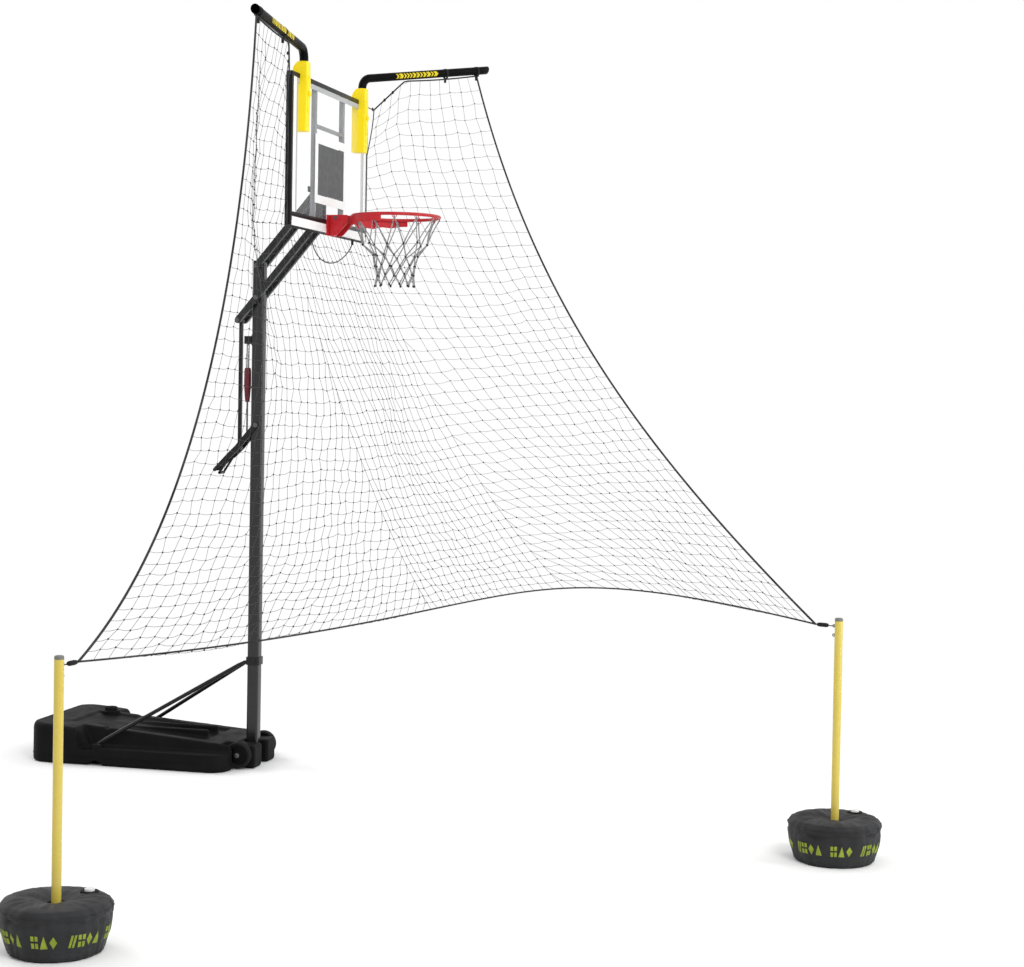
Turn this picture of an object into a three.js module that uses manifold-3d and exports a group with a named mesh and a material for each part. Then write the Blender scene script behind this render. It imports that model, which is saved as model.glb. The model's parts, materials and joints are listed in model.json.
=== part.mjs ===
// A basketball hoop on a wheeled tank, with a net that returns the ball to the shooter.
// Millimetres, +Z up. The floor is z = 0, the pole's axis is x = y = 0 and the board faces -Y.
import * as THREE from "three";
import { mergeVertices } from "three/addons/utils/BufferGeometryUtils.js";
import Module from "manifold-3d";

const wasm = await Module();
wasm.setup();

// Clearances
const gap = 0.3; // between pieces that touch
const overrun = 5; // how far a cutter runs past the face that it cuts
const weld = 0.0003; // points nearer than this are one point

// Heights that set the hoop
const rimHeight = 3050;
const boardDrop = 101; // from the ring's top down to the board's bottom edge
const pivotDrop = 280; // from the ring's top down to the arms' upper pin in the pole, arms raised

// Tank
const tankWidth = 720;
const tankFront = 30;
const tankRear = 1200;
const tankFrontHeight = 138;
const tankRearHeight = 222;
const tankCorner = 110;
const tankShoulder = 20;
const ledgeHeight = 98;
const ledgeWidth = 98; // in from the tank's side, at the ledge
const ledgeLean = 40; // how far the deck's side leans in above the ledge
const ledgeRear = 850;
const ledgeRearLean = 80;
const deckBorder = 160;
const deckDepth = 16;
const noseWidth = 330;
const noseReach = 70;
const noseHeight = 128;
const noseCorner = 30;
const fillCapRadius = 36;
const fillCapHeight = 18;
const fillCapChamfer = 4;
const fillCapX = 190;
const fillCapFromRear = 250;

// Wheels
const wheelRadius = 72;
const wheelWidth = 44;
const wheelFloorGap = 7;
const wheelShoulder = 7;
const wheelHubRadius = 26;
const wheelHubWidth = 50;
const axleRadius = 8;
const axleY = 12;
const axleEnd = 9;
const axleHeadRadius = 14;
const wheelWellRoom = 12;

// Pole
const poleSide = 65;
const poleWall = 3;
const poleAbovePivot = 22;
const poleJoint = 1390;
const poleSpigot = 90;
const poleCapHeight = 8;
const footHeight = 6;
const notchGap = 4;

// Braces
const braceRadius = 11;
const collarHeight = 44;
const collarWall = 6;
const collarZ = 575;
const braceFootFromSide = 38; // in from the tank's side
const braceFootY = 790;
const bossRadius = 34;
const bossHeight = 105;

// Lifting arms
const pinRadius = 8;
const pinHeadRadius = 14;
const pinHeadHeight = 7;
const armAngle = 50; // degrees above the horizon at the raised stop
const armLength = 500;
const armTail = 165; // lower arm, from the pole's pin back to the strut's pin
const armDepth = 34;
const armThickness = 24;
const armClearance = 8;
const pivotSpacing = 175;

// Lifting handle, strut and gas spring
const leverPivotZ = 1889;
const leverThickness = 8;
const leverDepth = 30;
const leverReach = 200;
const leverEndAngle = 44; // degrees below the horizon
const springPickup = 100;
const springPinRadius = 7;
const gripRadius = 14;
const gripFromEnd = 28;
const strutWidth = 26;
const strutDepth = 18;
const strutEye = 15;
const springRadius = 11;
const springSleeveRadius = 15;
const springSleeveLength = 190;
const springLength = 345;
const springAboveLever = 471; // from the lever's pin up to the spring's top
const springRodRadius = 5;
const springRodGap = 5;
const springRodInside = 85;
const springBracketHeight = 60;
const springBracketWidth = 36;

// Board
const boardWidth = 1270;
const boardHeight = 800;
const boardFaceY = -405;
const panelThickness = 6;
const frameBar = 24;
const frameDepth = 34;
const frameLip = 3; // how far the frame's front stands proud of the panel
const trimHeight = 48;
const trimThickness = 2;
const railX = 230;
const railWidth = 30;
const railDepth = 26;
const targetWidth = 520;
const targetHeight = 370;
const targetBottom = 150; // above the board's bottom edge
const targetBand = 45;
const targetBarAbove = 31; // from the target's top up to the frame's bar behind it
const targetThickness = 1.5;
const bracketWall = 8;
const earInner = 28;
const earOuter = 39;
const bracketHeight = 225;
const bracketWidth = 520;

// Rim
const ringInner = 228.5;
const ringRod = 9;
const ringFromBoard = 151;
const rimPlateWidth = 150;
const rimPlateHeight = 115;
const rimPlateThickness = 6;
const rimEarThickness = 8;
const rimEarReach = 112;
const rimEarCorner = 14;
const neckWidth = 86;
const neckHeight = 26;
const neckDrop = 42; // from the ring's middle down to the neck's front lower edge
const rimPinFromBoard = 48;
const rimPinBelowRing = 16;
const rimPinRadius = 6;
const rimPinHeadRadius = 10;
const stripThickness = 4;
const stripDeep = 50;
const stripShallow = 26;
const stripStartAngle = 8;
const stripEndAngle = 88;
const hoopNetLength = 375;
const hoopNetBottomRadius = 112;
const hoopLoops = 12;
const hoopRows = 4;
const hoopTaper = 0.8; // power of the net's taper towards its bottom

// Return arms and their clamps
const clampFromSide = 145; // in from the board's side
const clampWidth = 62;
const clampFront = 37;
const clampBack = 8;
const clampSlope = 32; // how far the rear top edge is cut down
const armFromClampFront = 28;
const clampLength = 300;
const clampAbove = 65;
const clampBoltRadius = 9;
const clampBoltLength = 12;
const clampBoltHeight = 198; // above the clamp's lower end
const returnArmRadius = 23.5;
const returnArmWall = 2.5;
const returnArmSocket = 48;
const returnArmHeight = 133; // above the board's top edge
const returnArmBend = 62;
const leftArmSpan = 985;
const rightArmSpan = 990;
const leftArmTurn = 186; // degrees from +X, seen from above
const rightArmTurn = -33;
const leftArmRise = 1.8; // degrees
const rightArmRise = 9.6;

// Return poles and weight bags
const leftBagOut = 3640; // towards -X
const leftBagReach = 630; // towards -Y
const rightBagOut = 1285;
const rightBagReach = 3320;
const bagRadius = 215;
const bagFootRadius = 168;
const bagHeight = 203;
const bagFloor = 15;
const returnPoleRadius = 19;
const returnPoleWall = 2;
const returnPoleTop = 1092;
const plugHeight = 14;
const bagCapRadius = 23;
const bagCapHeight = 13;
const bagCapSeatRadius = 32;
const bagCapFromPole = 137;
const bagCapTurn = -37;
const hookWidth = 16;
const hookDrop = 24;
const hookReach = 118; // from the pole's axis to the net's corner
const leftHookTurn = -10;
const rightHookTurn = 68;
const bagSideShares = [
  [0, 0],
  [0.29, 0.06],
  [0.73, 0.4],
  [1, 0.72],
  [0.91, 0.88],
]; // of the way from the foot's radius to the full radius, and of the height
const bagTopShares = [
  [0.81, 0.985],
  [0.47, 1],
  [0.3, 1.02],
]; // of the radius and of the height

// Return net
const cordWidth = 5;
const ropeWidth = 7;
const hoopCordWidth = 5;
const netTieInset = 30; // from an arm's end to the net's tie
const netUnderArm = 690; // how far the net runs in under an arm
const underArmShare = 0.78; // of a wing's top edge
const netSag = 180;
const netColumns = 15;
const netRows = 10;
const wingShare = 0.36; // of the net's width, on each side of the board

// The points that the net's side edges bow towards, and its bottom hem's two
const leftBowX = -1750;
const leftBowY = -590;
const leftBowZ = 1760;
const rightBowX = 660;
const rightBowY = -1530;
const rightBowZ = 2110;
const hemLeftX = -1131;
const hemLeftY = -1684;
const hemLeftZ = 981;
const hemRightX = 1351;
const hemRightY = -1145;
const hemRightZ = 1122;

// Board's cord, a loop under the board
const lockCordRadius = 2.5;

const rad = THREE.MathUtils.degToRad;
const braceFootX = tankWidth / 2 - braceFootFromSide;
const clampX = boardWidth / 2 - clampFromSide;
const leftBagX = -leftBagOut;
const leftBagY = -leftBagReach;
const rightBagX = -rightBagOut;
const rightBagY = -rightBagReach;
const boardBottom = rimHeight - boardDrop;
const boardTop = boardBottom + boardHeight;
const returnArmZ = boardTop + returnArmHeight;
const panelBackY = boardFaceY + panelThickness;
const frameMiddleY = boardFaceY - frameLip + frameDepth / 2;
const wheelZ = wheelRadius + wheelFloorGap;
const upperPivotZ = rimHeight - pivotDrop;
const springTopZ = leverPivotZ + springAboveLever;
const lowerPivotZ = upperPivotZ - pivotSpacing;
const poleTop = upperPivotZ + poleAbovePivot;
const armInner = poleSide / 2 + armClearance;
const armOuter = armInner + armThickness;
const V = (x, y, z) => new THREE.Vector3(x, y, z);

// A closed geometry from points and triangles, turned to face out
function closed(points, triangles) {
  const position = new Float32Array(points.flatMap((p) => [p.x, p.y, p.z]));
  let volume = 0;
  for (const [a, b, c] of triangles) {
    volume += points[a].dot(new THREE.Vector3().crossVectors(points[b], points[c]));
  }
  const index = triangles.flatMap(([a, b, c]) => (volume < 0 ? [a, c, b] : [a, b, c]));
  const geometry = new THREE.BufferGeometry();
  geometry.setAttribute("position", new THREE.BufferAttribute(position, 3));
  geometry.setIndex(index);
  return geometry;
}

// A skin over rings of equally many points, with a flat fan over each end
function loft(rings, looped = false) {
  const count = rings[0].length;
  const points = rings.flat();
  const triangles = [];
  const steps = looped ? rings.length : rings.length - 1;
  for (let r = 0; r < steps; r++) {
    const here = r * count;
    const next = ((r + 1) % rings.length) * count;
    for (let i = 0; i < count; i++) {
      const j = (i + 1) % count;
      triangles.push([here + i, here + j, next + j], [here + i, next + j, next + i]);
    }
  }
  if (!looped) {
    for (const [ring, start, front] of [
      [rings[0], 0, true],
      [rings[rings.length - 1], (rings.length - 1) * count, false],
    ]) {
      const centre = ring.reduce((sum, p) => sum.add(p), V(0, 0, 0)).divideScalar(count);
      points.push(centre);
      for (let i = 0; i < count; i++) {
        const j = (i + 1) % count;
        const tip = points.length - 1;
        triangles.push(front ? [tip, start + j, start + i] : [tip, start + i, start + j]);
      }
    }
  }
  return closed(points, triangles);
}

// A box from its low corner to its high corner
function box(lowX, lowY, lowZ, highX, highY, highZ) {
  const geometry = new THREE.BoxGeometry(highX - lowX, highY - lowY, highZ - lowZ);
  geometry.translate((lowX + highX) / 2, (lowY + highY) / 2, (lowZ + highZ) / 2);
  return bare(geometry);
}

// Only merged positions, as the booleans need
function bare(geometry) {
  geometry.deleteAttribute("normal");
  geometry.deleteAttribute("uv");
  return mergeVertices(geometry, weld);
}

// A tube section swept along a path without twist
function sweep(path, radius, sides) {
  const rings = [];
  let up = null;
  path.forEach((p, i) => {
    const before = path[Math.max(i - 1, 0)];
    const after = path[Math.min(i + 1, path.length - 1)];
    const along = after.clone().sub(before).normalize();
    if (!up) {
      up = Math.abs(along.z) < 0.9 ? V(0, 0, 1) : V(1, 0, 0);
    }
    up = up.clone().sub(along.clone().multiplyScalar(up.dot(along))).normalize();
    const side = new THREE.Vector3().crossVectors(along, up);
    const ring = [];
    for (let k = 0; k < sides; k++) {
      const turn = (2 * Math.PI * (k + 0.5)) / sides;
      ring.push(
        p
          .clone()
          .addScaledVector(up, radius * Math.cos(turn))
          .addScaledVector(side, radius * Math.sin(turn)),
      );
    }
    rings.push(ring);
  });
  return loft(rings);
}

function rod(from, to, radius, sides = 16) {
  return sweep([from, to], radius, sides);
}

// A turned piece about a vertical axis, its profile as [radius, height] from axis to axis
function turned(profile, sides, x = 0, y = 0, z = 0) {
  const geometry = new THREE.LatheGeometry(
    profile.map(([r, h]) => new THREE.Vector2(r, h)),
    sides,
  );
  geometry.rotateX(Math.PI / 2);
  geometry.translate(x, y, z);
  return bare(geometry);
}

// A plate in a plane across X: its outline is [y, z] pairs
function plate(outline, fromX, toX) {
  const flat = new THREE.Shape(outline.map(([y, z]) => new THREE.Vector2(y, z)));
  const geometry = new THREE.ExtrudeGeometry(flat, {
    depth: toX - fromX,
    bevelEnabled: false,
  });
  geometry.applyMatrix4(
    new THREE.Matrix4().makeBasis(V(0, 1, 0), V(0, 0, 1), V(1, 0, 0)),
  );
  geometry.translate(fromX, 0, 0);
  return bare(geometry);
}

// The outline of a bar with round ends between two points of the YZ plane
function barOutline([y0, z0], [y1, z1], depth, steps = 6) {
  const turn = Math.atan2(z1 - z0, y1 - y0);
  const points = [];
  for (const [y, z, start] of [
    [y0, z0, turn + Math.PI / 2],
    [y1, z1, turn - Math.PI / 2],
  ]) {
    for (let i = 0; i <= steps; i++) {
      const a = start + (Math.PI * i) / steps;
      points.push([y + (depth / 2) * Math.cos(a), z + (depth / 2) * Math.sin(a)]);
    }
  }
  return points;
}

function solid(geometry) {
  const mesh = new wasm.Mesh({
    numProp: 3,
    vertProperties: new Float32Array(geometry.attributes.position.array),
    triVerts: new Uint32Array(geometry.index.array),
  });
  return new wasm.Manifold(mesh);
}

function geometryOf(manifold) {
  const mesh = manifold.getMesh();
  const geometry = new THREE.BufferGeometry();
  geometry.setAttribute("position", new THREE.BufferAttribute(mesh.vertProperties, 3));
  geometry.setIndex(new THREE.BufferAttribute(mesh.triVerts, 1));
  return geometry;
}

function cut(geometry, ...cutters) {
  return geometryOf(cutters.reduce((left, c) => left.subtract(solid(c)), solid(geometry)));
}

function join(first, ...others) {
  return geometryOf(others.reduce((sum, g) => sum.add(solid(g)), solid(first)));
}

// A straight pin across X with a head at each end
function crossPin(y, z, reach, radius, headRadius, headHeight) {
  return join(
    rod(V(-reach - headHeight, y, z), V(reach + headHeight, y, z), radius),
    rod(V(-reach - headHeight, y, z), V(-reach - gap, y, z), headRadius),
    rod(V(reach + gap, y, z), V(reach + headHeight, y, z), headRadius),
  );
}

// A cutter across X, wide enough for a pin of this radius and its clearance
function pinHole(y, z, radius, reach) {
  return rod(V(-reach, y, z), V(reach, y, z), radius + 2 * gap);
}

const part = new THREE.Group();

const finishes = {
  black_plastic: [0x17181a, 0.45, 0],
  black_steel: [0x202224, 0.45, 0.3],
  grey_steel: [0x3a3d40, 0.4, 0.3],
  zinc: [0xb9bcc0, 0.35, 0.9],
  rubber: [0x141414, 0.8, 0],
  yellow: [0xe6d416, 0.45, 0],
  red: [0xb3161b, 0.4, 0.1],
  clear: [0xdfe8ec, 0.08, 0],
  white: [0xf2f2f0, 0.5, 0],
  target_grey: [0x4a4d50, 0.6, 0],
  net_cord: [0x2e2f30, 0.9, 0],
  hoop_cord: [0xc9cbcc, 0.9, 0],
  bag_fabric: [0x3a3b3c, 0.9, 0],
};
const materials = Object.fromEntries(
  Object.entries(finishes).map(([name, [color, roughness, metalness]]) => [
    name,
    new THREE.MeshStandardMaterial({ name, color, roughness, metalness }),
  ]),
);

function add(name, geometry, material) {
  const mesh = new THREE.Mesh(geometry, materials[material]);
  mesh.name = name;
  part.add(mesh);
}

// The tank's top rises from its front to its rear
function tankTopAt(y) {
  const share = THREE.MathUtils.smoothstep(y, tankFront, tankRear);
  return tankFrontHeight + (tankRearHeight - tankFrontHeight) * share;
}

// One level ring of the tank, drawn in from its outline
function tankRing(inset, heightAt) {
  const halfWidth = tankWidth / 2 - inset;
  const corner = Math.max(tankCorner - inset, tankCorner / 4);
  const low = tankFront + inset;
  const high = tankRear - inset;
  const points = [];
  const sideSteps = 5;
  const cornerSteps = 4;
  for (const [sx, sy, start] of [
    [1, 1, 0],
    [-1, 1, 90],
    [-1, -1, 180],
    [1, -1, 270],
  ]) {
    const cx = sx * (halfWidth - corner);
    const cy = sy > 0 ? high - corner : low + corner;
    for (let i = 0; i <= cornerSteps; i++) {
      const a = rad(start + (90 * i) / cornerSteps);
      points.push([cx + corner * Math.cos(a), cy + corner * Math.sin(a)]);
    }
    if (start === 90 || start === 270) {
      const from = points[points.length - 1][1];
      const to = sy > 0 ? low + corner : high - corner;
      for (let i = 1; i < sideSteps; i++) {
        points.push([sx * halfWidth, from + ((to - from) * i) / sideSteps]);
      }
    }
  }
  return points.map(([x, y]) => V(x, y, heightAt(y)));
}

// The space above the ledge along one side of the tank, closed at the back by a leaning wall
function ledgeSpace(side) {
  const inner = tankWidth / 2 - ledgeWidth;
  const outer = tankWidth / 2 + overrun;
  const top = tankRearHeight + overrun;
  const ring = (lowY, highY) => [
    V(side * inner, lowY, ledgeHeight),
    V(side * outer, lowY, ledgeHeight),
    V(side * outer, highY, top),
    V(side * (inner - ledgeLean), highY, top),
  ];
  const front = tankFront - overrun;
  return loft([ring(front, front), ring(ledgeRear, ledgeRear + ledgeRearLean)]);
}

// The space round one wheel and its axle's end, open in front and above
function wheelWell(side) {
  const near = side * (noseWidth / 2 - tankShoulder);
  const far = side * (axleReach() + axleEnd + wheelWellRoom);
  return box(
    Math.min(near, far),
    tankFront - overrun,
    -overrun,
    Math.max(near, far),
    axleY + wheelRadius + wheelWellRoom,
    tankRearHeight,
  );
}

function axleReach() {
  return noseWidth / 2 + 2 * gap + wheelHubWidth;
}

function addTank() {
  const bodyRings = [
    tankRing(tankShoulder / 4, () => 0),
    tankRing(0, () => tankShoulder / 2),
    tankRing(0, (y) => tankTopAt(y) - 2 * tankShoulder),
    tankRing(tankShoulder / 4, (y) => tankTopAt(y) - tankShoulder),
    tankRing(tankShoulder, (y) => tankTopAt(y)),
    tankRing(deckBorder, (y) => tankTopAt(y)),
    tankRing(deckBorder + deckDepth, (y) => tankTopAt(y) - deckDepth),
  ];
  const noseRing = (inset, z) => {
    const w = noseWidth / 2 - inset;
    const front = -noseReach + inset;
    return [
      V(-w, tankFront + tankCorner, z),
      V(w, tankFront + tankCorner, z),
      V(w, front + noseCorner, z),
      V(w - noseCorner, front, z),
      V(-w + noseCorner, front, z),
      V(-w, front + noseCorner, z),
    ];
  };
  const nose = loft([
    noseRing(tankShoulder / 4, 0),
    noseRing(0, tankShoulder / 2),
    noseRing(0, noseHeight - tankShoulder),
    noseRing(tankShoulder / 2, noseHeight),
  ]);
  const bosses = [-1, 1].map((side) =>
    rod(
      V(side * braceFootX, braceFootY, tankShoulder),
      V(side * braceFootX, braceFootY, bossHeight + tankShoulder / 2),
      bossRadius,
    ),
  );
  const capBoss = rod(
    V(fillCapX, tankRear - fillCapFromRear, tankShoulder),
    V(fillCapX, tankRear - fillCapFromRear, capSeatZ()),
    fillCapRadius + deckDepth,
    20,
  );
  const notchHalf = poleSide / 2 + notchGap;
  const notch = box(
    -notchHalf,
    -noseReach - overrun,
    -overrun,
    notchHalf,
    notchHalf,
    noseHeight + overrun,
  );
  const axleBore = pinHole(axleY, wheelZ, axleRadius, noseWidth / 2 + overrun);
  const body = cut(loft(bodyRings), ...[-1, 1].flatMap((side) => [ledgeSpace(side), wheelWell(side)]));
  const whole = join(body, nose, ...bosses, capBoss);
  add("base_tank", cut(whole, notch, axleBore), "black_plastic");

  const capX = fillCapX;
  const capY = tankRear - fillCapFromRear;
  const cap = turned(
    [
      [0, 0],
      [fillCapRadius, 0],
      [fillCapRadius, fillCapHeight - fillCapChamfer],
      [fillCapRadius - fillCapChamfer, fillCapHeight],
      [0, fillCapHeight],
    ],
    20,
    capX,
    capY,
    capSeatZ() + gap,
  );
  add("tank_cap", cap, "black_plastic");
}

function capSeatZ() {
  return tankTopAt(tankRear - fillCapFromRear) + deckDepth / 4;
}

function addWheels() {
  const hubStart = noseWidth / 2 + gap;
  const reach = axleReach();
  const axle = join(
    rod(V(-reach - axleEnd, axleY, wheelZ), V(reach + axleEnd, axleY, wheelZ), axleRadius),
    rod(V(-reach - axleEnd, axleY, wheelZ), V(-reach, axleY, wheelZ), axleHeadRadius),
    rod(V(reach, axleY, wheelZ), V(reach + axleEnd, axleY, wheelZ), axleHeadRadius),
  );
  add("wheel_axle", axle, "zinc");
  const bore = axleRadius + gap;
  const inner = (wheelHubWidth - wheelWidth) / 2;
  const profile = [
    [bore, 0],
    [wheelHubRadius, 0],
    [wheelHubRadius, inner],
    [wheelRadius - wheelShoulder, inner],
    [wheelRadius, inner + wheelShoulder],
    [wheelRadius, inner + wheelWidth - wheelShoulder],
    [wheelRadius - wheelShoulder, inner + wheelWidth],
    [wheelHubRadius, inner + wheelWidth],
    [wheelHubRadius, wheelHubWidth],
    [bore, wheelHubWidth],
    [bore, 0],
  ];
  for (const [name, side] of [
    ["wheel_left", -1],
    ["wheel_right", 1],
  ]) {
    const wheel = turned(profile, 20);
    wheel.rotateY(Math.PI / 2);
    wheel.translate(side > 0 ? hubStart : -hubStart - wheelHubWidth, axleY, wheelZ);
    add(name, wheel, "rubber");
  }
}

// A square tube about the pole's axis
function squareTube(side, wall, low, high) {
  const s = side / 2;
  const inner = s - wall;
  return cut(
    box(-s, -s, low, s, s, high),
    box(-inner, -inner, low - overrun, inner, inner, high + overrun),
  );
}

function addPole() {
  const half = poleSide / 2;
  const foot = box(-half - gap, -half - gap, 0, half + gap, half + gap, footHeight);
  add("pole_foot", foot, "black_steel");
  const reach = poleSide;
  const lower = cut(
    squareTube(poleSide, poleWall, footHeight + gap, poleJoint),
    pinHole(axleY, wheelZ, axleRadius, reach),
  );
  add("pole_lower", lower, "black_steel");
  const spigotSide = poleSide - 2 * poleWall - 2 * gap;
  const upper = cut(
    join(
      squareTube(poleSide, poleWall, poleJoint + gap, poleTop),
      squareTube(spigotSide, poleWall, poleJoint - poleSpigot, poleJoint + gap + poleWall),
      cut(
        box(-half, -half, poleJoint + gap, half, half, poleJoint + gap + poleWall),
        box(
          -spigotSide / 2 + poleWall,
          -spigotSide / 2 + poleWall,
          poleJoint - overrun,
          spigotSide / 2 - poleWall,
          spigotSide / 2 - poleWall,
          poleJoint + poleWall + overrun,
        ),
      ),
    ),
    pinHole(0, upperPivotZ, pinRadius, reach),
    pinHole(0, lowerPivotZ, pinRadius, reach),
    pinHole(0, leverPivotZ, pinRadius, reach),
  );
  add("pole_upper", upper, "black_steel");
  const cap = box(-half, -half, poleTop + gap, half, half, poleTop + gap + poleCapHeight);
  add("pole_cap", cap, "black_plastic");
  const pinReach = armOuter + gap;
  for (const [name, z] of [
    ["upper_pivot_pin", upperPivotZ],
    ["lower_pivot_pin", lowerPivotZ],
  ]) {
    add(name, crossPin(0, z, pinReach, pinRadius, pinHeadRadius, pinHeadHeight), "zinc");
  }
}

function addBraces() {
  const inner = poleSide / 2 + gap;
  const outer = inner + collarWall;
  const low = collarZ - collarHeight / 2;
  const high = collarZ + collarHeight / 2;
  const collar = cut(
    box(-outer, -outer, low, outer, outer, high),
    box(-inner, -inner, low - overrun, inner, inner, high + overrun),
  );
  add("brace_collar", collar, "black_steel");
  const keepOff = outer + gap;
  const clearOfCollar = box(-poleSide, -poleSide, low - poleSide, poleSide, keepOff, high + poleSide);
  for (const [name, side] of [
    ["brace_left", -1],
    ["brace_right", 1],
  ]) {
    const top = V(side * (outer - braceRadius), outer - braceRadius, collarZ);
    const footPoint = V(side * braceFootX, braceFootY, bossSeatZ());
    const along = footPoint.clone().sub(top).normalize();
    const bar = rod(top, footPoint.clone().addScaledVector(along, bossRadius), braceRadius, 12);
    const underSeat = box(
      side * braceFootX - bossRadius * 2,
      braceFootY - bossRadius * 3,
      0,
      side * braceFootX + bossRadius * 2,
      braceFootY + bossRadius * 3,
      bossSeatZ() + gap,
    );
    add(name, cut(bar, clearOfCollar, underSeat), "black_steel");
  }
}

function bossSeatZ() {
  return bossHeight + tankShoulder / 2;
}

// The places of the linkage's pins in the YZ plane, at the raised stop
const forward = [-Math.cos(rad(armAngle)), Math.sin(rad(armAngle))];
const reachFrom = ([y, z], length) => [y + forward[0] * length, z + forward[1] * length];
const upperPivot = [0, upperPivotZ];
const lowerPivot = [0, lowerPivotZ];
const upperFront = reachFrom(upperPivot, armLength);
const lowerFront = reachFrom(lowerPivot, armLength);
const tailPin = reachFrom(lowerPivot, -armTail);
const leverPivot = [0, leverPivotZ];
const leverPin = reachFrom(leverPivot, -armTail);
const springPin = reachFrom(leverPivot, -springPickup);

function addLiftingArms() {
  for (const [name, from, to, holes] of [
    ["upper_arm", upperPivot, upperFront, [upperPivot, upperFront]],
    ["lower_arm", tailPin, lowerFront, [tailPin, lowerPivot, lowerFront]],
  ]) {
    for (const [side, sign] of [
      ["left", -1],
      ["right", 1],
    ]) {
      const low = sign < 0 ? -armOuter : armInner;
      const bar = plate(barOutline(from, to, armDepth), low, low + armThickness);
      const bores = holes.map(([y, z]) => pinHole(y, z, pinRadius, armOuter + overrun));
      add(name + "_" + side, cut(bar, ...bores), "grey_steel");
    }
  }
  const pinReach = armOuter + gap;
  for (const [name, [y, z]] of [
    ["board_pin_upper", upperFront],
    ["board_pin_lower", lowerFront],
    ["strut_pin", tailPin],
  ]) {
    add(name, crossPin(y, z, pinReach, pinRadius, pinHeadRadius, pinHeadHeight), "zinc");
  }
}

function addLiftHandle() {
  const inner = poleSide / 2 + 4 * gap;
  const outer = inner + leverThickness;
  const tipTurn = rad(-leverEndAngle);
  const tip = [
    leverPin[0] + leverReach * Math.cos(tipTurn),
    leverPin[1] + leverReach * Math.sin(tipTurn),
  ];
  const sides = [-1, 1].flatMap((sign) => {
    const low = sign < 0 ? -outer : inner;
    return [
      plate(barOutline(leverPivot, leverPin, leverDepth), low, low + leverThickness),
      plate(barOutline(leverPin, tip, leverDepth), low, low + leverThickness),
    ];
  });
  const across = (point, radius) =>
    rod(V(-inner - gap, ...point), V(inner + gap, ...point), radius);
  const lever = cut(
    join(...sides, across(leverPin, pinRadius), across(springPin, springPinRadius)),
    pinHole(...leverPivot, pinRadius, outer + overrun),
  );
  add("handle_lever", lever, "black_steel");
  const pin = crossPin(
    ...leverPivot,
    outer + gap,
    pinRadius,
    pinHeadRadius,
    pinHeadHeight,
  );
  add("handle_pivot_pin", pin, "zinc");
  const gripPoint = [
    tip[0] - gripFromEnd * Math.cos(tipTurn),
    tip[1] - gripFromEnd * Math.sin(tipTurn),
  ];
  const grip = rod(V(-inner + gap, ...gripPoint), V(inner - gap, ...gripPoint), gripRadius);
  add("handle_grip", grip, "rubber");

  const halfWidth = strutWidth / 2;
  const strut = cut(
    join(
      box(
        -halfWidth,
        leverPin[0] - strutDepth / 2,
        leverPin[1],
        halfWidth,
        leverPin[0] + strutDepth / 2,
        tailPin[1],
      ),
      rod(V(-halfWidth, ...leverPin), V(halfWidth, ...leverPin), strutEye),
      rod(V(-halfWidth, ...tailPin), V(halfWidth, ...tailPin), strutEye),
    ),
    pinHole(...leverPin, pinRadius, strutWidth),
    pinHole(...tailPin, pinRadius, strutWidth),
  );
  add("lift_strut", strut, "black_steel");
}

function addGasSpring() {
  const y = springPin[0];
  const bottom = springTopZ - springLength;
  const rodTravel = 2 * springPickup * Math.sin(rad(armAngle));
  const rodBottom = springPin[1] + pinRadius + springRodGap;
  const rodTop = bottom + springRodInside;
  const boreTop = rodTop + rodTravel + springRodGap;
  const cylinder = cut(
    rod(V(0, y, bottom), V(0, y, springTopZ), springRadius),
    rod(V(0, y, bottom - overrun), V(0, y, boreTop), springRodRadius + 2 * gap, 12),
  );
  add("spring_cylinder", cylinder, "black_steel");
  const sleeveTop = bottom + springSleeveLength;
  const sleeve = cut(
    rod(V(0, y, bottom), V(0, y, sleeveTop), springSleeveRadius),
    rod(V(0, y, bottom - overrun), V(0, y, sleeveTop + overrun), springRadius + 2 * gap),
  );
  add("spring_sleeve", sleeve, "red");
  add("spring_rod", rod(V(0, y, rodBottom), V(0, y, rodTop), springRodRadius, 12), "zinc");
  const half = springBracketWidth / 2;
  const bracket = cut(
    box(
      -half,
      poleSide / 2 + gap,
      springTopZ - springBracketHeight / 2,
      half,
      y + springRadius + collarWall,
      springTopZ + springBracketHeight / 2,
    ),
    rod(
      V(0, y, springTopZ - springBracketHeight),
      V(0, y, springTopZ + gap),
      springRadius + 2 * gap,
    ),
  );
  add("spring_bracket", bracket, "black_steel");
}

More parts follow.
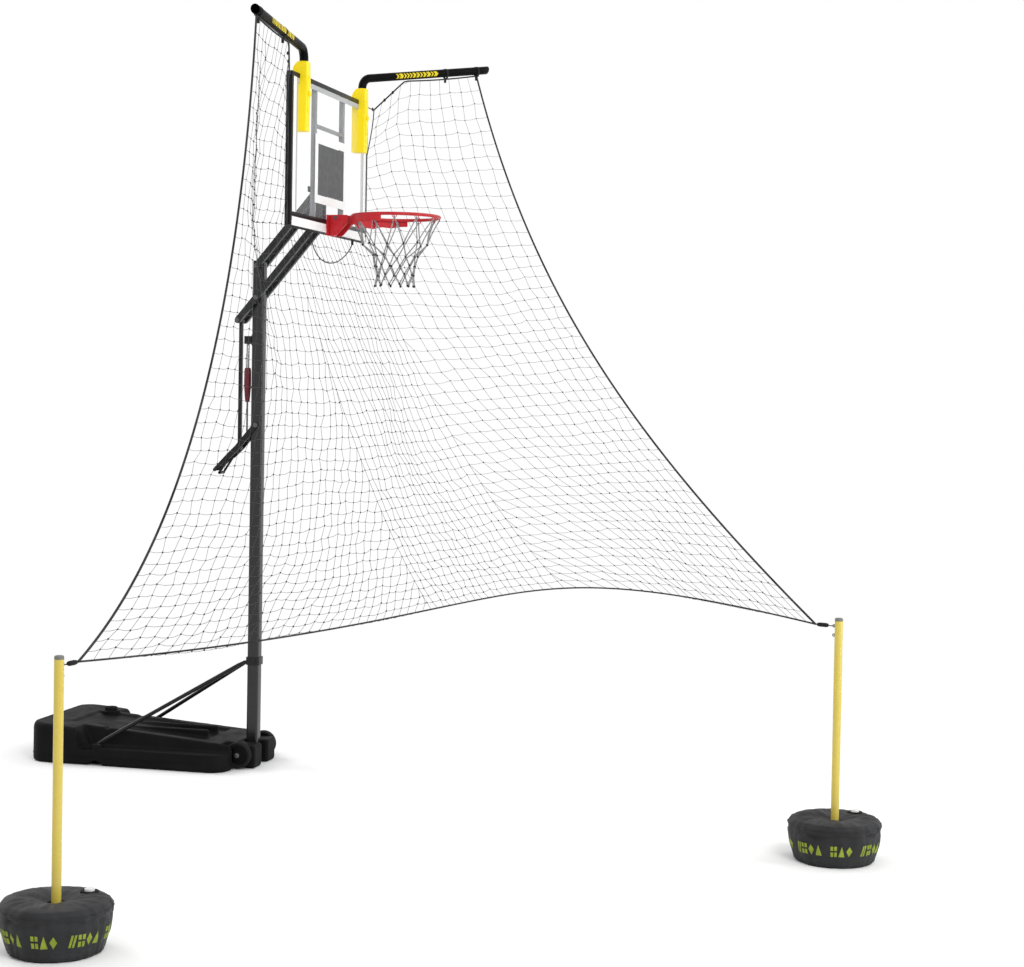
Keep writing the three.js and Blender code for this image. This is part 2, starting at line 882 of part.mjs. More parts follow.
function addBoard() {
  const half = boardWidth / 2;
  const frontY = boardFaceY - frameLip;
  const backY = frontY + frameDepth;
  const inner = half - frameBar;
  const frame = cut(
    box(-half, frontY, boardBottom, half, backY, boardTop),
    box(
      -inner,
      frontY - overrun,
      boardBottom + frameBar,
      inner,
      backY + overrun,
      boardTop - frameBar,
    ),
  );
  add("board_frame", frame, "black_steel");
  add(
    "board_panel",
    box(
      -inner + gap,
      boardFaceY,
      boardBottom + frameBar + gap,
      inner - gap,
      panelBackY,
      boardTop - frameBar - gap,
    ),
    "clear",
  );
  const railLow = boardBottom + frameBar + gap;
  const railHigh = boardTop - frameBar - gap;
  const railFront = panelBackY + gap;
  const railBack = railFront + railDepth;
  const crossLow = lowerFront[1] - armDepth / 2;
  const rails = [-1, 1].map((side) =>
    box(
      side * railX - railWidth / 2,
      railFront,
      railLow,
      side * railX + railWidth / 2,
      railBack,
      railHigh,
    ),
  );
  const targetBarZ = boardBottom + targetBottom + targetHeight + targetBarAbove;
  const levels = [railLow, crossLow + bracketHeight - railWidth, targetBarZ];
  const crossbars = levels.map((z) =>
    box(-railX, railFront, z, railX, railBack, z + railWidth),
  );
  add("board_rear_frame", join(...rails, ...crossbars), "grey_steel");

  const plateFront = railBack + gap;
  const plateBack = plateFront + bracketWall;
  const plateHalf = bracketWidth / 2;
  const earBack = upperFront[0] + armDepth / 2;
  const ears = [-1, 1].map((side) => {
    const low = side < 0 ? -earOuter : earInner;
    return box(
      low,
      plateFront,
      crossLow,
      low + earOuter - earInner,
      earBack,
      crossLow + bracketHeight,
    );
  });
  const bracket = cut(
    join(
      box(-plateHalf, plateFront, crossLow, plateHalf, plateBack, crossLow + railWidth),
      box(
        -plateHalf,
        plateFront,
        crossLow + bracketHeight - railWidth,
        plateHalf,
        plateBack,
        crossLow + bracketHeight,
      ),
      ...ears,
    ),
    pinHole(...upperFront, pinRadius, armOuter),
    pinHole(...lowerFront, pinRadius, armOuter),
  );
  add("board_bracket", bracket, "black_steel");

  const faceY = boardFaceY - gap;
  const trim = box(
    -inner + gap,
    faceY - trimThickness,
    boardBottom + frameBar + gap,
    inner - gap,
    faceY,
    boardBottom + frameBar + gap + trimHeight,
  );
  add("bottom_trim", trim, "white");
  const low = boardBottom + targetBottom;
  const targetBox = (inset, from, to) =>
    box(
      -targetWidth / 2 + inset,
      from,
      low + inset,
      targetWidth / 2 - inset,
      to,
      low + targetHeight - inset,
    );
  const outline = cut(
    targetBox(0, faceY - targetThickness, faceY),
    targetBox(targetBand, faceY - targetThickness - overrun, faceY + overrun),
  );
  add("target_outline", outline, "white");
  add(
    "target_panel",
    targetBox(targetBand + gap, faceY - targetThickness, faceY),
    "target_grey",
  );
}

const ringRadius = ringInner + ringRod;
const ringSides = 8;
const ringCentreY = boardFaceY - ringFromBoard - ringInner;
const ringZ = rimHeight - ringRod;
const ringBottomZ = ringZ - ringRod * Math.cos(Math.PI / ringSides);
const rimPinY = boardFaceY - rimPinFromBoard;
const rimPinZ = rimHeight - rimPinBelowRing;

// A flat strip on edge that stiffens the near quarter of the ring on one side from below
function rimStrip(side) {
  const steps = 8;
  const outer = ringRadius + ringRod;
  const rings = [];
  for (let i = 0; i <= steps; i++) {
    const share = i / steps;
    const angle = stripStartAngle + (stripEndAngle - stripStartAngle) * share;
    const turn = rad(90 - side * angle);
    const floor = ringZ - ringRod - stripDeep + (stripDeep - stripShallow) * share;
    const point = (r, z) => V(r * Math.cos(turn), ringCentreY + r * Math.sin(turn), z);
    rings.push([
      point(outer - stripThickness, floor),
      point(outer, floor),
      point(outer, ringZ),
      point(outer - stripThickness, ringZ),
    ]);
  }
  return loft(rings);
}

function addRim() {
  const faceY = boardFaceY - frameLip - gap;
  const halfPlate = rimPlateWidth / 2;
  const mountFloor = rimHeight - rimPlateHeight;
  const earInnerX = neckWidth / 2 + gap;
  const plateFront = faceY - rimPlateThickness;
  const ear = [
    [plateFront + gap, mountFloor],
    [plateFront + gap, rimHeight],
    [plateFront - rimEarReach + rimEarCorner, rimHeight],
    [plateFront - rimEarReach, rimHeight - rimEarCorner],
    [plateFront - rimEarReach, rimPinZ - neckHeight],
    [plateFront - rimEarReach / 2, mountFloor + rimEarCorner],
    [plateFront - rimEarReach / 2 + rimEarCorner, mountFloor],
  ];
  const mount = cut(
    join(
      box(-halfPlate, plateFront, mountFloor, halfPlate, faceY, rimHeight),
      plate(ear, -earInnerX - rimEarThickness, -earInnerX),
      plate(ear, earInnerX, earInnerX + rimEarThickness),
    ),
    pinHole(rimPinY, rimPinZ, rimPinRadius, rimPlateWidth),
  );
  add("rim_mount", mount, "red");

  const pinReach = earInnerX + rimEarThickness;
  add(
    "rim_hinge_pin",
    crossPin(rimPinY, rimPinZ, pinReach, rimPinRadius, rimPinHeadRadius, rimPinRadius),
    "zinc",
  );

  const ringSteps = 36;
  const ringRings = [];
  for (let i = 0; i < ringSteps; i++) {
    const a = (2 * Math.PI * i) / ringSteps;
    const section = [];
    for (let k = 0; k < ringSides; k++) {
      const b = (2 * Math.PI * (k + 0.5)) / ringSides;
      const r = ringRadius + ringRod * Math.cos(b);
      section.push(
        V(r * Math.cos(a), ringCentreY + r * Math.sin(a), ringZ + ringRod * Math.sin(b)),
      );
    }
    ringRings.push(section);
  }
  const ring = loft(ringRings, true);
  const neckFront = ringCentreY + ringRadius - ringRod / 2;
  const stripInnerY = ringCentreY + ringRadius + ringRod - stripThickness;
  const neck = plate(
    [
      ...barOutline([rimPinY, rimPinZ], [rimPinY - gap, rimPinZ], neckHeight).filter(
        ([y]) => y >= rimPinY - gap / 2,
      ),
      [stripInnerY, ringZ - neckDrop],
      [stripInnerY, ringZ - ringRod / 2],
      [neckFront, ringZ - ringRod / 2],
      [neckFront, ringZ + ringRod / 2],
    ].sort(aroundPoint((rimPinY + neckFront) / 2, ringZ)),
    -neckWidth / 2,
    neckWidth / 2,
  );
  const rim = cut(
    join(ring, neck, rimStrip(-1), rimStrip(1)),
    pinHole(rimPinY, rimPinZ, rimPinRadius, rimPlateWidth),
  );
  add("rim", rim, "red");
}

// Sorts [y, z] points by their angle about a point inside them
function aroundPoint(y, z) {
  return (a, b) => Math.atan2(a[1] - z, a[0] - y) - Math.atan2(b[1] - z, b[0] - y);
}

// A net of square cord: a grid of knots on a surface, joined by cords, with open gaps between
function lattice(surface, across, down, width, wrapped = false) {
  const step = 1e-3;
  const half = width / 2;
  const columns = wrapped ? across : across + 1;
  const points = [];
  const corner = (i, j, su, sv, face) =>
    (((i % columns) * (down + 1) + j) * 4 + (su > 0 ? 2 : 0) + (sv > 0 ? 1 : 0)) * 2 + face;
  for (let i = 0; i < columns; i++) {
    for (let j = 0; j <= down; j++) {
      const u = i / across;
      const v = j / down;
      const at = surface(u, v);
      const alongU = surface(u + step, v).sub(surface(u - step, v)).normalize();
      const alongV = surface(u, v + step).sub(surface(u, v - step)).normalize();
      const normal = new THREE.Vector3().crossVectors(alongU, alongV).normalize();
      for (const su of [-1, 1]) {
        for (const sv of [-1, 1]) {
          for (const sn of [-1, 1]) {
            points.push(
              at
                .clone()
                .addScaledVector(alongU, su * half)
                .addScaledVector(alongV, sv * half)
                .addScaledVector(normal, sn * half),
            );
          }
        }
      }
    }
  }
  const triangles = [];
  const quad = (a, b, c, d) => triangles.push([a, b, c], [a, c, d]);
  const bothFaces = (a, b, c, d) => {
    quad(a(1), b(1), c(1), d(1));
    quad(d(0), c(0), b(0), a(0));
  };
  const wall = (a, b) => quad(a(0), b(0), b(1), a(1));
  const at = (i, j, su, sv) => (face) => corner(i, j, su, sv, face);
  for (let i = 0; i < columns; i++) {
    for (let j = 0; j <= down; j++) {
      bothFaces(at(i, j, -1, -1), at(i, j, 1, -1), at(i, j, 1, 1), at(i, j, -1, 1));
      const right = wrapped || i < across;
      if (right) {
        bothFaces(
          at(i, j, 1, -1),
          at(i + 1, j, -1, -1),
          at(i + 1, j, -1, 1),
          at(i, j, 1, 1),
        );
      }
      if (j < down) {
        bothFaces(
          at(i, j, -1, 1),
          at(i, j, 1, 1),
          at(i, j + 1, 1, -1),
          at(i, j + 1, -1, -1),
        );
      }
      if (right && j < down) {
        wall(at(i + 1, j, -1, 1), at(i, j, 1, 1));
        wall(at(i + 1, j + 1, -1, -1), at(i + 1, j, -1, 1));
        wall(at(i, j + 1, 1, -1), at(i + 1, j + 1, -1, -1));
        wall(at(i, j, 1, 1), at(i, j + 1, 1, -1));
      }
    }
  }
  const border = (i, j, nextI, nextJ, edge) => {
    wall(at(i, j, ...edge[0]), at(i, j, ...edge[1]));
    if (nextI !== null) {
      wall(at(i, j, ...edge[1]), at(nextI, nextJ, ...edge[0]));
    }
  };
  for (let i = 0; i < columns; i++) {
    const last = !wrapped && i === across;
    border(i, 0, last ? null : i + 1, 0, [[-1, -1], [1, -1]]);
    const first = !wrapped && i === 0;
    border(i, down, first ? null : i - 1 + (i ? 0 : columns), down, [[1, 1], [-1, 1]]);
  }
  if (!wrapped) {
    for (let j = 0; j <= down; j++) {
      border(across, j, j < down ? across : null, j + 1, [[1, -1], [1, 1]]);
      border(0, j, j > 0 ? 0 : null, j - 1, [[-1, 1], [-1, -1]]);
    }
  }
  return closed(points, triangles);
}

// Moves a geometry along one axis until its far side lies a gap before a face there
function seat(geometry, axis, face, side) {
  geometry.computeBoundingBox();
  const reached = geometry.boundingBox[side > 0 ? "max" : "min"][axis];
  const shift = V(0, 0, 0);
  shift[axis] = face - side * gap - reached;
  return geometry.translate(shift.x, shift.y, shift.z);
}

function addHoopNet() {
  const hoop = lattice(
    (u, v) => {
      const a = -2 * Math.PI * (u + v / hoopLoops);
      const taper = Math.pow(Math.max(v, 0), hoopTaper);
      const r = ringRadius + (hoopNetBottomRadius - ringRadius) * taper;
      return V(
        r * Math.cos(a),
        ringCentreY + r * Math.sin(a),
        ringBottomZ - hoopCordWidth - hoopNetLength * v,
      );
    },
    hoopLoops,
    hoopRows,
    hoopCordWidth,
    true,
  );
  add("hoop_net", seat(hoop, "z", ringBottomZ, 1), "hoop_cord");
}

// The quadratic and cubic curves that the net's ropes hang in
function quadratic(a, b, c, t) {
  const s = 1 - t;
  return V(0, 0, 0)
    .addScaledVector(a, s * s)
    .addScaledVector(b, 2 * s * t)
    .addScaledVector(c, t * t);
}

function cubic(a, b, c, d, t) {
  const s = 1 - t;
  return V(0, 0, 0)
    .addScaledVector(a, s * s * s)
    .addScaledVector(b, 3 * s * s * t)
    .addScaledVector(c, 3 * s * t * t)
    .addScaledVector(d, t * t * t);
}

function armPath(x, turn, rise, span) {
  const socketBottom = boardTop + clampAbove - returnArmSocket;
  const y = armAxisY();
  const level = V(Math.cos(rad(turn)), Math.sin(rad(turn)), 0);
  const heading = level
    .clone()
    .multiplyScalar(Math.cos(rad(rise)))
    .add(V(0, 0, Math.sin(rad(rise))));
  const path = [V(x, y, socketBottom)];
  const sweepAngle = 90 - rise;
  const steps = 6;
  const bendStartZ = returnArmZ - returnArmBend;
  for (let i = 0; i <= steps; i++) {
    const a = rad((sweepAngle * i) / steps);
    path.push(
      V(x, y, bendStartZ + returnArmBend * Math.sin(a)).addScaledVector(
        level,
        returnArmBend * (1 - Math.cos(a)),
      ),
    );
  }
  path.push(path[path.length - 1].clone().addScaledVector(heading, span - returnArmBend));
  return path;
}

function armAxisY() {
  return boardFaceY - frameLip - clampFront + armFromClampFront;
}

const leftPath = armPath(-clampX, leftArmTurn, leftArmRise, leftArmSpan);
const rightPath = armPath(clampX, rightArmTurn, rightArmRise, rightArmSpan);

function addReturnArms() {
  const frontY = boardFaceY - frameLip;
  const backY = frontY + frameDepth;
  for (const [side, sign, path] of [
    ["left", -1, leftPath],
    ["right", 1, rightPath],
  ]) {
    const x = sign * clampX;
    const half = clampWidth / 2;
    const low = boardTop - clampLength;
    const top = boardTop + clampAbove;
    const rear = backY + clampBack;
    const slopeStart = armAxisY() + returnArmRadius + returnArmWall;
    const clamp = cut(
      plate(
        [
          [frontY - clampFront, low],
          [frontY - clampFront, top],
          [slopeStart, top],
          [rear, top - clampSlope],
          [rear, low],
        ],
        x - half,
        x + half,
      ),
      box(
        x - half - overrun,
        frontY - gap,
        boardTop - frameBar - gap,
        x + half + overrun,
        backY + gap,
        boardTop + gap,
      ),
      box(
        x - half - overrun,
        frontY - gap,
        low - overrun,
        x + half + overrun,
        panelBackY + gap,
        boardTop - frameBar,
      ),
      rod(
        V(x, armAxisY(), boardTop + clampAbove - returnArmSocket - gap),
        V(x, armAxisY(), boardTop + clampAbove + overrun),
        returnArmRadius + 2 * gap,
      ),
    );
    add("arm_clamp_" + side, clamp, "yellow");
    const boltZ = low + clampBoltHeight;
    const bolt = rod(
      V(x, frontY - clampFront - gap, boltZ),
      V(x, frontY - clampFront - clampBoltLength, boltZ),
      clampBoltRadius,
      12,
    );
    add("clamp_bolt_" + side, bolt, "yellow");
    const bore = path.map((p) => p.clone());
    const last = bore.length - 1;
    bore[last].add(bore[last].clone().sub(bore[last - 1]).setLength(overrun));
    bore[0].z += returnArmWall;
    const arm = cut(
      sweep(path, returnArmRadius, 12),
      sweep(bore, returnArmRadius - returnArmWall, 12),
    );
    add("return_arm_" + side, arm, "black_steel");
  }
}

// Where a hook holds a corner of the net, out from its return pole
function netCorner(x, y, turn) {
  return V(
    x + hookReach * Math.cos(rad(turn)),
    y + hookReach * Math.sin(rad(turn)),
    returnPoleTop - hookDrop,
  );
}

const leftCorner = netCorner(leftBagX, leftBagY, leftHookTurn);
const rightCorner = netCorner(rightBagX, rightBagY, rightHookTurn);

// How far the net's corner knot lies from a pole's axis, along its hook
function knotReach(middle, out) {
  const corner = middle.clone().addScaledVector(out, hookReach);
  const position = returnNet.attributes.position;
  let nearest = hookReach;
  for (let i = 0; i < position.count; i++) {
    const point = new THREE.Vector3().fromBufferAttribute(position, i);
    if (point.distanceTo(corner) < 2 * cordWidth) {
      nearest = Math.min(nearest, point.sub(middle).dot(out));
    }
  }
  return nearest;
}

function addReturnPoles() {
  const bore = returnPoleRadius + 2 * gap;
  for (const [side, x, y, turn] of [
    ["left", leftBagX, leftBagY, leftHookTurn],
    ["right", rightBagX, rightBagY, rightHookTurn],
  ]) {
    const bag = turned(
      [
        [0, 0],
        ...bagSideShares.map(([out, up]) => [
          bagFootRadius + (bagRadius - bagFootRadius) * out,
          bagHeight * up,
        ]),
        ...bagTopShares.map(([out, up]) => [bagRadius * out, bagHeight * up]),
        [bore, bagHeight],
        [bore, bagFloor],
        [0, bagFloor],
      ],
      24,
      x,
      y,
    );
    const capX = x + bagCapFromPole * Math.cos(rad(bagCapTurn));
    const capY = y + bagCapFromPole * Math.sin(rad(bagCapTurn));
    const seat = rod(
      V(capX, capY, bagHeight / 2),
      V(capX, capY, bagHeight + gap),
      bagCapSeatRadius,
    );
    add("weight_bag_" + side, join(bag, seat), "bag_fabric");
    const cap = rod(
      V(capX, capY, bagHeight + 2 * gap),
      V(capX, capY, bagHeight + 2 * gap + bagCapHeight),
      bagCapRadius,
    );
    add("bag_cap_" + side, cap, "white");
    const pole = cut(
      rod(V(x, y, bagFloor + gap), V(x, y, returnPoleTop), returnPoleRadius),
      rod(
        V(x, y, bagFloor + returnPoleWall),
        V(x, y, returnPoleTop + overrun),
        returnPoleRadius - returnPoleWall,
      ),
    );
    add("return_pole_" + side, pole, "yellow");
    const plug = rod(
      V(x, y, returnPoleTop + gap),
      V(x, y, returnPoleTop + gap + plugHeight),
      returnPoleRadius,
    );
    add("pole_plug_" + side, plug, "target_grey");
    const out = V(Math.cos(rad(turn)), Math.sin(rad(turn)), 0);
    const z = returnPoleTop - hookDrop;
    const middle = V(x, y, z);
    const reach = knotReach(middle, out) - gap;
    const hook = cut(
      rod(middle, middle.clone().addScaledVector(out, reach), hookWidth / 2, 8),
      rod(V(x, y, z - hookWidth), V(x, y, z + hookWidth), returnPoleRadius + gap),
    );
    add("corner_hook_" + side, hook, "black_plastic");
  }
}

// The net's tie under an arm, near its end
function armTie(path) {
  const end = path[path.length - 1];
  const before = path[path.length - 2];
  return end
    .clone()
    .add(before.clone().sub(end).setLength(netTieInset))
    .add(V(0, 0, -returnArmRadius - ropeWidth));
}

const leftTie = armTie(leftPath);
const rightTie = armTie(rightPath);
const leftBow = V(leftBowX, leftBowY, leftBowZ);
const rightBow = V(rightBowX, rightBowY, rightBowZ);
const leftEdge = (t) => quadratic(leftTie, leftBow, leftCorner, t);
const rightEdge = (t) => quadratic(rightTie, rightBow, rightCorner, t);
const lerp = (a, b, t) => a.clone().lerp(b, t);

// The share of an edge that lies above a height
function shareAbove(edge, z) {
  let low = 0;
  let high = 1;
  for (let i = 0; i < 40; i++) {
    const middle = (low + high) / 2;
    if (edge(middle).z > z) {
      low = middle;
    } else {
      high = middle;
    }
  }
  return low;
}

// The wings of the return net fill the space between the arms and the board's sides
function addNetWings() {
  const lowZ = boardBottom + 2 * cordWidth;
  for (const [name, edge, path, side] of [
    ["net_wing_left", leftEdge, leftPath, -1],
    ["net_wing_right", rightEdge, rightPath, 1],
  ]) {
    const split = shareAbove(edge, lowZ);
    const inner = (v) =>
      V(
        side * (boardWidth / 2 + cordWidth),
        frameMiddleY,
        boardTop + (lowZ - boardTop) * v,
      );
    const [bend, end] = path.slice(-2);
    const inward = bend.clone().sub(end).normalize();
    const turn = edge(0).addScaledVector(inward, netUnderArm);
    const top = (u) =>
      u < underArmShare
        ? lerp(edge(0), turn, u / underArmShare)
        : lerp(turn, inner(0), (u - underArmShare) / (1 - underArmShare));
    const surface = (u, v) =>
      lerp(edge(split * v), inner(v), u).addScaledVector(
        top(u).sub(lerp(edge(0), inner(0), u)),
        (1 - v) * (1 - v),
      );
    const wing = lattice(surface, 5, 4, cordWidth);
    add(name, seat(wing, "x", (side * boardWidth) / 2, -side), "net_cord");
  }
}

// The lower net hangs from the board's bottom edge down to the two hooks
function makeReturnNet() {
  const topZ = boardBottom - cordWidth;
  const leftShare = shareAbove(leftEdge, topZ);
  const rightShare = shareAbove(rightEdge, topZ);
  const left = leftEdge(leftShare);
  const right = rightEdge(rightShare);
  const boardLeft = V(-boardWidth / 2, frameMiddleY, topZ);
  const boardRight = V(boardWidth / 2, frameMiddleY, topZ);
  const hemLeft = V(hemLeftX, hemLeftY, hemLeftZ);
  const hemRight = V(hemRightX, hemRightY, hemRightZ);
  const topRow = (u) => {
    if (u < wingShare) {
      return lerp(left, boardLeft, u / wingShare);
    }
    if (u > 1 - wingShare) {
      return lerp(boardRight, right, (u - 1 + wingShare) / wingShare);
    }
    return lerp(boardLeft, boardRight, (u - wingShare) / (1 - 2 * wingShare));
  };
  const surface = (u, v) => {
    const bottom = cubic(leftCorner, hemLeft, hemRight, rightCorner, u);
    const point = lerp(topRow(u), bottom, v);
    point.z -= 4 * v * (1 - v) * netSag * Math.sin(Math.PI * u);
    const leftNow = leftEdge(leftShare + (1 - leftShare) * v);
    const rightNow = rightEdge(rightShare + (1 - rightShare) * v);
    point.addScaledVector(leftNow.sub(lerp(left, leftCorner, v)), Math.pow(1 - u, 3));
    point.addScaledVector(rightNow.sub(lerp(right, rightCorner, v)), Math.pow(u, 3));
    return point;
  };
  return seat(lattice(surface, netColumns, netRows, cordWidth), "z", boardBottom, 1);
}

const returnNet = makeReturnNet();

function addLockCord() {
  const route = [
    [-33.5, -308, 2960.7],
    [-33.5, -308, 2935],
    [-30, -312, 2903],
    [-16, -320, 2866],
    [8, -330, 2834],
    [42, -341, 2811],
    [84, -351, 2799],
    [132, -360, 2796],
    [184, -367, 2801],
    [238, -373, 2813],
    [292, -377, 2831],
    [344, -380, 2853],
    [392, -382, 2878],
    [434, -382, 2904],
    [458, -382, 2928],
    [458, -382, 2948.7],
  ];
  add(
    "lock_cord",
    sweep(
      route.map((p) => V(...p)),
      lockCordRadius,
      8,
    ),
    "net_cord",
  );
}

addTank();
addWheels();
addPole();
addBraces();
addLiftingArms();
addLiftHandle();
addGasSpring();
addBoard();
addRim();
addHoopNet();
addReturnArms();
addNetWings();
add("return_net", returnNet, "net_cord");
addReturnPoles();
addLockCord();

export default part;
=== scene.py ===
"""Looks of a basketball hoop with a ball return net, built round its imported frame. Metres, +Z up."""

import json
import math
import random

import bmesh
import bpy
from mathutils import Matrix, Vector, noise


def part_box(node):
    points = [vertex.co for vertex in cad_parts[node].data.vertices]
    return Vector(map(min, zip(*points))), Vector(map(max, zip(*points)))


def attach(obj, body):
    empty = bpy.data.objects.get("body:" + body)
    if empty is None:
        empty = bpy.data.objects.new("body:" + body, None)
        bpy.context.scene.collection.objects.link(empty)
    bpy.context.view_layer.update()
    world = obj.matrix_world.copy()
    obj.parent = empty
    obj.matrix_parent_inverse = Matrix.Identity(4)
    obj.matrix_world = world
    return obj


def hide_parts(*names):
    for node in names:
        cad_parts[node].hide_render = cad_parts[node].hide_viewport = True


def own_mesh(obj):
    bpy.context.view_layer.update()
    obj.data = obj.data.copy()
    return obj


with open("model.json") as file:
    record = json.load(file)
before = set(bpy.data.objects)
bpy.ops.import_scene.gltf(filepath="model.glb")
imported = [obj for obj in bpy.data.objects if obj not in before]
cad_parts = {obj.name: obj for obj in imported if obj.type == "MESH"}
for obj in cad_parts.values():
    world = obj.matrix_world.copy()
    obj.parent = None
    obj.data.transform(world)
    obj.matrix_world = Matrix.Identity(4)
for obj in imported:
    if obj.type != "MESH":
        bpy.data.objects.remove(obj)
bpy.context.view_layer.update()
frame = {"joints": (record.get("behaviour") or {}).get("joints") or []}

TURN = 2 * math.pi
X = Vector((1, 0, 0))
Y = Vector((0, 1, 0))
Z = Vector((0, 0, 1))
SIDES = (("left", -1), ("right", 1))
WHITE = (1, 1, 1, 1)

# Camera, fitted to the photograph, angles in degrees from +X towards +Y
EYE = Vector((-10.449, -4.03, 2.158))
LOOK_YAW = 13.84
LOOK_PITCH = -1.32
LOOK_ROLL = 1.0
SENSOR = 36.0
FOCAL_LENGTH = 70.24
SHIFT_Y = -0.0552

# Light: each lamp's place, watts, width and height
WORLD_STRENGTH = 0.8
LAMP_AIM = Vector((-1, -1, 1.6))
LAMPS = {
    "key_lamp": ((-8, -7, 7.5), 420, 4.0, 4.0),
    "fill_lamp": ((4, -9, 6.0), 160, 5.0, 5.0),
    "rim_lamp": ((1, 7, 7.0), 260, 4.0, 4.0),
    "strip_lamp": ((-2.4, -9.5, 2.2), 150, 0.9, 4.4),
}
FLOOR_REACH = 60
FLOOR_MIDDLE = (-1.2, -1.3, 0)
FLOOR_FADE = (2.6, 6.0)


def vec(x, y, z):
    return Vector((x, y, z))


def lerp(a, b, t):
    return a + (b - a) * t


def smooth(t):
    t = min(max(t, 0), 1)
    return t * t * (3 - 2 * t)


def around(a):
    """The level direction at an angle from +X."""
    return vec(math.cos(a), math.sin(a), 0)


def both(near, far):
    """The spans from near to far on either side of the middle."""
    return (-far, -near), (near, far)


def centre(node):
    low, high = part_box(node)
    return (low + high) / 2


def size(node):
    low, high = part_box(node)
    return high - low


def underside(node):
    low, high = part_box(node)
    return vec((low.x + high.x) / 2, (low.y + high.y) / 2, low.z)


def add_object(name, data):
    thing = bpy.data.objects.new(name, data)
    bpy.context.collection.objects.link(thing)
    return thing


# Camera and light


class Tree:
    """A node tree that is built up node by node."""

    def __init__(self, owner):
        owner.use_nodes = True
        self.nodes = owner.node_tree.nodes
        self.links = owner.node_tree.links

    def feed(self, node, inputs):
        """Sets each input to a value, or links it to an output."""
        for socket, value in inputs.items():
            if isinstance(value, bpy.types.NodeSocket):
                self.links.new(value, node.inputs[socket])
            else:
                node.inputs[socket].default_value = value

    def add(self, kind, inputs, **settings):
        node = self.nodes.new("ShaderNode" + kind)
        for setting, value in settings.items():
            setattr(node, setting, value)
        self.feed(node, inputs)
        return node

    def combine(self, operation, a, b):
        return self.add("Math", {0: a, 1: b}, operation=operation).outputs[0]

    def shown(self):
        """1 for the rays that should meet the white background, else 0."""
        paths = self.add("LightPath", {}).outputs
        either = self.combine("MAXIMUM", paths["Is Camera Ray"], paths["Is Glossy Ray"])
        return self.combine("MAXIMUM", either, paths["Is Transmission Ray"])


def add_camera():
    yaw, pitch, roll = (math.radians(angle) for angle in (LOOK_YAW, LOOK_PITCH, LOOK_ROLL))
    ahead = around(yaw) * math.cos(pitch) + Z * math.sin(pitch)
    right = vec(math.sin(yaw), -math.cos(yaw), 0)
    up = right.cross(ahead)
    rolled_right = right * math.cos(roll) + up * math.sin(roll)
    rolled_up = up * math.cos(roll) - right * math.sin(roll)
    data = bpy.data.cameras.new("camera")
    data.sensor_width = SENSOR
    data.sensor_fit = "HORIZONTAL"
    data.lens = FOCAL_LENGTH
    data.shift_y = SHIFT_Y
    data.clip_end = 100
    camera = add_object("camera", data)
    basis = Matrix((rolled_right, rolled_up, -ahead)).transposed().to_4x4()
    camera.matrix_world = Matrix.Translation(EYE) @ basis
    bpy.context.scene.camera = camera


def add_light():
    world = bpy.data.worlds.new("studio")
    bpy.context.scene.world = world
    tree = Tree(world)
    lit = tree.nodes["Background"]
    tree.feed(lit, {"Color": WHITE, "Strength": WORLD_STRENGTH})
    seen = tree.add("Background", {"Color": WHITE, "Strength": 1})
    mix = tree.add("MixShader", {"Fac": tree.shown(), 1: lit.outputs[0], 2: seen.outputs[0]})
    tree.feed(tree.nodes["World Output"], {"Surface": mix.outputs[0]})
    for name, (place, watts, width, height) in LAMPS.items():
        data = bpy.data.lights.new(name, "AREA")
        data.shape = "RECTANGLE"
        data.energy = watts
        data.size = width
        data.size_y = height
        lamp = add_object(name, data)
        lamp.location = place
        lamp.rotation_euler = (LAMP_AIM - Vector(place)).to_track_quat("-Z", "Y").to_euler()


def add_floor():
    """A pale floor that runs out to white away from the object."""
    mesh = bpy.data.meshes.new("floor")
    corners = [(x * FLOOR_REACH, y * FLOOR_REACH, 0) for x, y in ((-1, -1), (1, -1), (1, 1), (-1, 1))]
    mesh.from_pydata(corners, [], [(0, 1, 2, 3)])
    floor = add_object("floor", mesh)
    paint = bpy.data.materials.new("floor_paint")
    tree = Tree(paint)
    coords = tree.add("TexCoord", {}).outputs["Object"]
    grain = tree.add("TexNoise", {"Scale": 40, "Vector": coords})
    bump = tree.add("Bump", {"Strength": 0.02, "Height": grain.outputs["Fac"]})
    shader = tree.nodes["Principled BSDF"]
    tree.feed(shader, {"Base Color": (0.93, 0.93, 0.93, 1), "Roughness": 0.9, "Specular IOR Level": 0.2,
                       "Normal": bump.outputs["Normal"]})
    away = tree.add("VectorMath", {0: coords, 1: FLOOR_MIDDLE}, operation="DISTANCE")
    fade = tree.add("MapRange", {
        "From Min": FLOOR_FADE[0], "From Max": FLOOR_FADE[1], "Value": away.outputs["Value"],
    }, interpolation_type="SMOOTHSTEP")
    share = tree.combine("MULTIPLY", tree.shown(), fade.outputs["Result"])
    white = tree.add("Emission", {"Strength": 1})
    mix = tree.add("MixShader", {"Fac": share, 1: shader.outputs[0], 2: white.outputs[0]})
    tree.feed(tree.nodes["Material Output"], {"Surface": mix.outputs[0]})
    mesh.materials.append(paint)


# Finishes

# The wave texture's scale for bands a metre apart
METRE_BANDS = 0.314
FINISHES = {}


